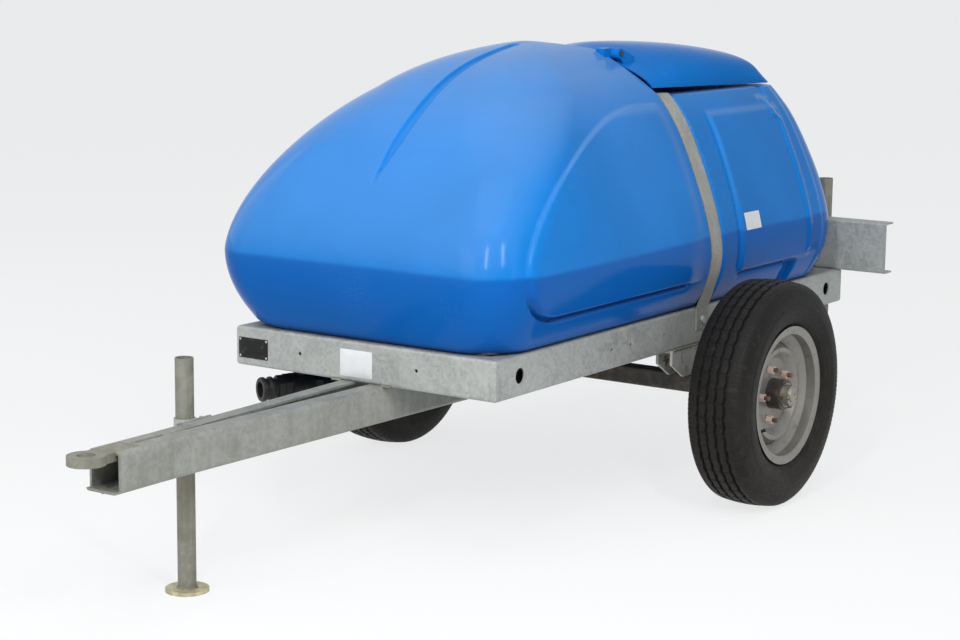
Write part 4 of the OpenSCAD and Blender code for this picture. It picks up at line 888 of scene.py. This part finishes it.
def slab(top, under):
    """Two grids of the same shape, joined round their rim into one closed skin."""
    loop = np.concatenate([top, under[:, ::-1]], axis=1)
    rows, cols = loop.shape[:2]
    k = np.arange(top.shape[1] - 1)
    end = np.stack([k, k + 1, cols - 2 - k, cols - 1 - k], axis=-1)
    faces = [grid_faces(rows, cols, wrap_cols=True), end[:, ::-1], end + (rows - 1) * cols]
    return loop.reshape(-1, 3), np.concatenate(faces).tolist()


def lid_crown(u):
    """Crown from hinge (0) to tail (1): level, less 48 u ** 3 and a dive with a soft start at 0.9."""
    past = u - 0.9
    dive = 363 * (past + np.sqrt(past ** 2 + 0.0002))
    return deck_z + lid_up - 9 * (1 - step(0, 0.25, u)) - 48 * u ** 3 - dive


def lid_edge(u):
    """Lower edge, straight: 24 over the deck at the hinge and 6 at the tail."""
    return deck_z + 24 - 18 * u


def lid_skin(u, a, inset):
    """Point at length u and turn a: cos a and sin a to the power 2 / full; notches clear the lugs."""
    full = lid_lean + (lid_full - lid_lean) * step(0, 0.6, u)
    level = np.clip(np.cos(a), 0, 1)
    over = np.abs(np.sin(a)) ** (2 / full) * np.sign(a)
    front_z = lid_edge(0) + (lid_crown(0) - lid_edge(0)) * level ** (2 / lid_lean)
    front = hood_back_x(front_z) - 4 - 14 * step(1130, 1162, front_z)
    y = over * (lid_half - inset)
    past = np.clip(np.abs(y) - lid_half + lid_corner, 0, lid_corner)
    tail = lid_tail + lid_corner - np.sqrt(lid_corner ** 2 - past ** 2)
    x = front + (tail - front) * u
    room = hinge_x - np.sqrt(np.clip((pin_r + 4) ** 2 - (front_z - hinge_z) ** 2, 0, None))
    x = np.where((np.abs(y) > lug_y - 18) & (np.abs(y) < lug_y + 15), np.minimum(x, room), x)
    return points_of(x, y, lid_edge(u) + (lid_crown(u) - inset - lid_edge(u)) * level ** (2 / full))


u = (1 - (1 - np.linspace(0, 1, 72)) ** 1.7)[:, None]
a = np.linspace(-np.pi / 2, np.pi / 2, 97)[None, :]
lid_sheet = slab(lid_skin(u, a, 0.0), lid_skin(u, a, lid_wall))
curl = np.linspace(-np.pi / 2, np.pi / 2, 13)
ear = [(hinge_x - ear_long, hinge_z - 10), (hinge_x - ear_long, hinge_z - 34), (hinge_x - 17, hinge_z - 32),
       *zip(hinge_x + pin_r * np.cos(curl), hinge_z + pin_r * np.sin(curl))]
add_piece("lid_shell", *gather([lid_sheet] + pair(ear, ear_y, ear_half)), "lid", "tank_plastic", lid_blue,
          sharp=45, stands_for="lid")

# %% [markdown]
# The tyre is a turned section with a road tread: four zigzag grooves all round, thin sipes across
# the ribs, and fine teeth on the shoulder. The tread is a height field over the turn and the
# width, taken off the section's radius. Rows crowd the sipes and columns crowd the grooves, so few
# faces give sharp edges. A displacement texture would need many more.

# %% Tread
tyre_r, tread_half, crown_drop = 298.0, 60.12, 5.0
pitches, groove_deep, sipe_deep, tooth_deep = 48, 7.5, 2.0, 2.2
grooves = (-0.62, -0.21, 0.21, 0.62)
near_groove = np.array([-0.12, -0.1, -0.08, -0.055, -0.03, 0.03, 0.055, 0.08, 0.1, 0.12])
tread_v = np.concatenate([np.linspace(-1, 1, 31)] + [groove + near_groove for groove in grooves])
tread_v = np.unique(np.round(tread_v, 4))
pitch_rows = np.array([0, 0.1, 0.2, 0.3, 0.4, 0.45, 0.475, 0.525, 0.55, 0.6, 0.7, 0.8, 0.9])
tread_turn = (np.arange(pitches)[:, None] + pitch_rows[None, :]).reshape(-1, 1)


def teeth(turn):
    """Row of fine teeth, three to a pitch: 1 on a gap, 0 on a tooth."""
    return step(0.2, 0.9, np.cos(2 * np.pi * 3 * turn))


def tread_depth(turn, v):
    """Depth at a turn (in pitches) and a place v across (-1..1): zigzag grooves, sipes and teeth."""
    zigzag = 0.03 * (2 * np.abs(2 * (turn % 1) - 1) - 1)
    depth = np.zeros(np.broadcast(turn, v).shape)
    for groove in grooves:
        depth = np.maximum(depth, groove_deep * step(0.07, 0.05, np.abs(v - groove - zigzag)))
    across = step(0.62, 0.58, np.abs(v)) * step(0.02, 0.06, np.abs(v))
    sipe = step(0.06, 0.03, np.abs(turn % 1 - 0.5)) * across
    edge_teeth = teeth(turn) * step(0.86, 0.93, np.abs(v))
    return np.maximum(depth, np.maximum(sipe_deep * sipe, tooth_deep * edge_teeth))


print("tread grid", tread_turn.size, "by", tread_v.size)

# %% [markdown]
# Each sidewall is an arc that bulges past the rim, with three thin rings and a band of teeth below
# the shoulder. The beads go down between the rim's flanges. The section closes inside the rim.

# %% Tyres
bead_top, bead_seat, bead_half, well_half = 183.0, 165.05, 63.5, 50.0
wall_y0, wall_bulge = 57.5, 26.0


def tyre_surface(side, middle):
    """Sections (radius, y) at each turn round the axle; side is +1 for the left wheel, -1 for the right."""
    turn, v = tread_turn, tread_v[None, :]
    tread = points_of(tyre_r - crown_drop * v ** 2 - tread_depth(turn, v), v * tread_half)
    a = np.radians(np.linspace(74, -70, 34))[None, :]
    shoulder_r = tyre_r - crown_drop
    wall_r = (shoulder_r + bead_top) / 2 + (shoulder_r - bead_top) / 2 * np.sin(a)
    height = (wall_r - bead_top) / (shoulder_r - bead_top)
    rings = 1.3 * rib(height, 0.5, 0.03) + 1.0 * rib(height, 0.42, 0.025) + 1.5 * rib(height, 0.13, 0.05)
    wall_y = wall_y0 + wall_bulge * np.cos(a) + rings - step(0.7, 0.76, height) * teeth(turn)
    near, far = points_of(wall_r, wall_y), points_of(wall_r, -wall_y)[:, ::-1]
    bead_r = np.array([bead_top] + 4 * [bead_seat] + [bead_top])
    bead_y = np.array([bead_half, bead_half, well_half, -well_half, -bead_half, -bead_half])
    section = np.concatenate([far, tread, near, points_of(bead_r, bead_y + 0 * turn)], axis=1)
    angle = 2 * np.pi * turn / pitches
    r, y = section[..., 0], side * section[..., 1]
    points = points_of(r * np.cos(angle), y + side * middle, r * np.sin(angle) + tyre_r)
    return points.reshape(-1, 3), grid_faces(turn.size, section.shape[1], wrap_cols=True, wrap_rows=True)


tyre_middle = 1000 * (tyre_low.y + tyre_high.y) / 2
for side, word in ((1, "left"), (-1, "right")):
    add_piece("tyre_tread_" + word, *tyre_surface(side, tyre_middle), "wheel_" + word, "tyre_rubber",
              rubber, sharp=42, stands_for="tyre_" + word)

# %% [markdown]
# A bare plate and two labels are the only things stuck on. A plate is a rounded rectangle given
# thickness and a soft edge. They stay blank: the place is finished, and nothing is written.

# %% Plates
beam_face, rim_n = 950.1, 48
plate_y, plate_z, plate_size, plate_thick = -341.0, 448.0, (94.0, 52.0), 1.2
label_y, label_z, label_size, label_thick = -16.0, 447.5, (98.0, 67.0), 0.5


def plate(centre, size, thick, corner):
    """Rounded rectangle size = (wide, high) that faces forward, raised by thick with a soft edge."""
    a = full_turn(rim_n)
    half_y, half_z = size[0] / 2 - corner, size[1] / 2 - corner
    y = np.sign(np.cos(a)) * half_y + corner * np.cos(a)
    z = np.sign(np.sin(a)) * half_z + corner * np.sin(a)
    share, lift = np.array([(1.0, 0.0), (1.0, 0.7), (0.99, 1.0), (0.5, 1.0)]).T[..., None]
    points = points_of(thick * lift, share * y, share * z).reshape(-1, 3)
    points = np.concatenate([points, [(thick, 0, 0)]]) + np.array(centre)
    faces = grid_faces(4, rim_n, wrap_cols=True)
    faces += fan_faces(3 * rim_n + np.arange(rim_n), 4 * rim_n) + end_faces(4, rim_n)[:1]
    return points, faces


plate_black = worn_finish("plate_black", (0.009, 0.009, 0.01), (0.03, 0.03, 0.03), 0.12, 0.36,
                          dirt_amount=0.06, gloss=0.2)
paper_white = worn_finish("paper_white", (0.68, 0.69, 0.7), (0.68, 0.68, 0.68), 0.05, 0.5, dirt_amount=0.1)
add_piece("data_plate", *plate((beam_face, plate_y, plate_z), plate_size, plate_thick, 3.0),
          "chassis", "galvanised", plate_black, sharp=60)
add_piece("beam_label", *plate((beam_face, label_y, label_z), label_size, label_thick, 4.0),
          "chassis", "galvanised", paper_white, sharp=60)

# %% [markdown]
# The tail's label follows the moulded side: a small grid is laid on the same side formula, a
# fraction of a millimetre proud. The data plate is held by four domed rivets.

# %% Label and rivets
label_fore, label_aft, label_low, label_high = -174, -258, 695, 741
rivet_r, rivet_up, rivet_x, rivet_y, rivet_z = 3.2, 1.8, 951.2, 42.0, 21.0


def on_side(x, z, lift):
    """Points on the tank's left side at x and z, lifted off it along y."""
    return points_of(x, half_width(z) - side_depth(x, z) + lift, z)


def dome(centre, radius, height, rings=5, turns=16):
    """Cap that faces forward: height * cos(t) along x, and radius * sin(t) round that axis."""
    t = np.linspace(np.pi / 2, 0.05, rings)[:, None]
    b = full_turn(turns)
    points = points_of(height * np.cos(t), radius * np.sin(t) * np.cos(b), radius * np.sin(t) * np.sin(b))
    faces = grid_faces(rings, turns, wrap_cols=True) + end_faces(rings, turns)
    return points.reshape(-1, 3) + np.array(centre), faces


x, z = np.linspace(label_fore, label_aft, 15)[None, :], np.linspace(label_low, label_high, 9)[:, None]
label = slab(on_side(x, z, 0.7), on_side(x, z, 0.1))
add_piece("tail_label", *label, "chassis", "tank_plastic", paper_white, sharp=60)
rivets = [dome((rivet_x, plate_y + i * rivet_y, plate_z + j * rivet_z), rivet_r, rivet_up)
          for i in (-1, 1) for j in (-1, 1)]
add_piece("plate_rivets", *gather(rivets), "chassis", "galvanised", bare_steel, sharp=60)

# %% [markdown]
# Weld beads join the steelwork. A bead is a tube along a line whose radius ripples, as each dab
# of weld overlaps the last. Half of it lies in the joint, so only the rippled top shows.

# %% Weld beads
dab, bead_step = 7.0, 1.75


def bead(path, radius, closed=False, turns=10):
    """Tube on a path of points: radius * (1 + 0.14 cos(2 pi s / dab)) at the length s along it."""
    path = np.asarray(path, float)
    run = np.roll(path, -1, axis=0) - np.roll(path, 1, axis=0) if closed else np.gradient(path, axis=0)
    run = run / np.linalg.norm(run, axis=1, keepdims=True)
    flat = np.cross(run, np.where(np.abs(run[:, 2:]) > 0.9, [[1.0, 0, 0]], [[0, 0, 1.0]]))
    flat = flat / np.linalg.norm(flat, axis=1, keepdims=True)
    s = np.concatenate([[0], np.cumsum(np.linalg.norm(np.diff(path, axis=0), axis=1))])
    r = (radius * (1 + 0.14 * np.cos(2 * np.pi * s / dab)))[:, None, None]
    b = full_turn(turns)[None, :, None]
    points = path[:, None] + r * (np.cos(b) * flat[:, None] + np.sin(b) * np.cross(flat, run)[:, None])
    faces = grid_faces(len(path), turns, wrap_cols=True, wrap_rows=closed)
    return points.reshape(-1, 3), faces + ([] if closed else end_faces(len(path), turns))


def line(start, end):
    """Points every bead_step from start to end."""
    start, end = np.array(start, float), np.array(end, float)
    count = int(np.linalg.norm(end - start) / bead_step) + 2
    return start + (end - start) * np.linspace(0, 1, count)[:, None]


def ring(centre, radius):
    """Points every bead_step round an upright axis."""
    b = full_turn(int(2 * np.pi * radius / bead_step))
    return np.array(centre) + points_of(radius * np.cos(b), radius * np.sin(b), 0)


prop_low, prop_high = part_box("front_prop_tube")
prop_x = 1000 * ((prop_low.x + prop_high.x) / 2 - axle_x)
prop_y = 1000 * (prop_low.y + prop_high.y) / 2
welds = [bead(line((1655, 0, 402), (1748, 0, 402)), 3.0), bead(line((1650, 0, 312), (1838, 0, 312)), 3.0)]
for s in (-1, 1):
    welds += [bead(line((950.5, s * 62, 402.5), (950.5, s * 90, 402.5)), 3.2),
              bead(line((-120, s * 395, 402), (120, s * 395, 402)), 3.2),
              bead(line((-886, s * 345, 502.5), (-886, s * 395, 502.5)), 3.0)]
add_piece("weld_beads", *gather(welds), "chassis", "galvanised", galvanised_tube, sharp=0)
add_piece("foot_bead", *bead(ring((prop_x, prop_y, 9), 22), 2.6, closed=True), "front_prop", "galvanised",
          galvanised_tube, sharp=0)
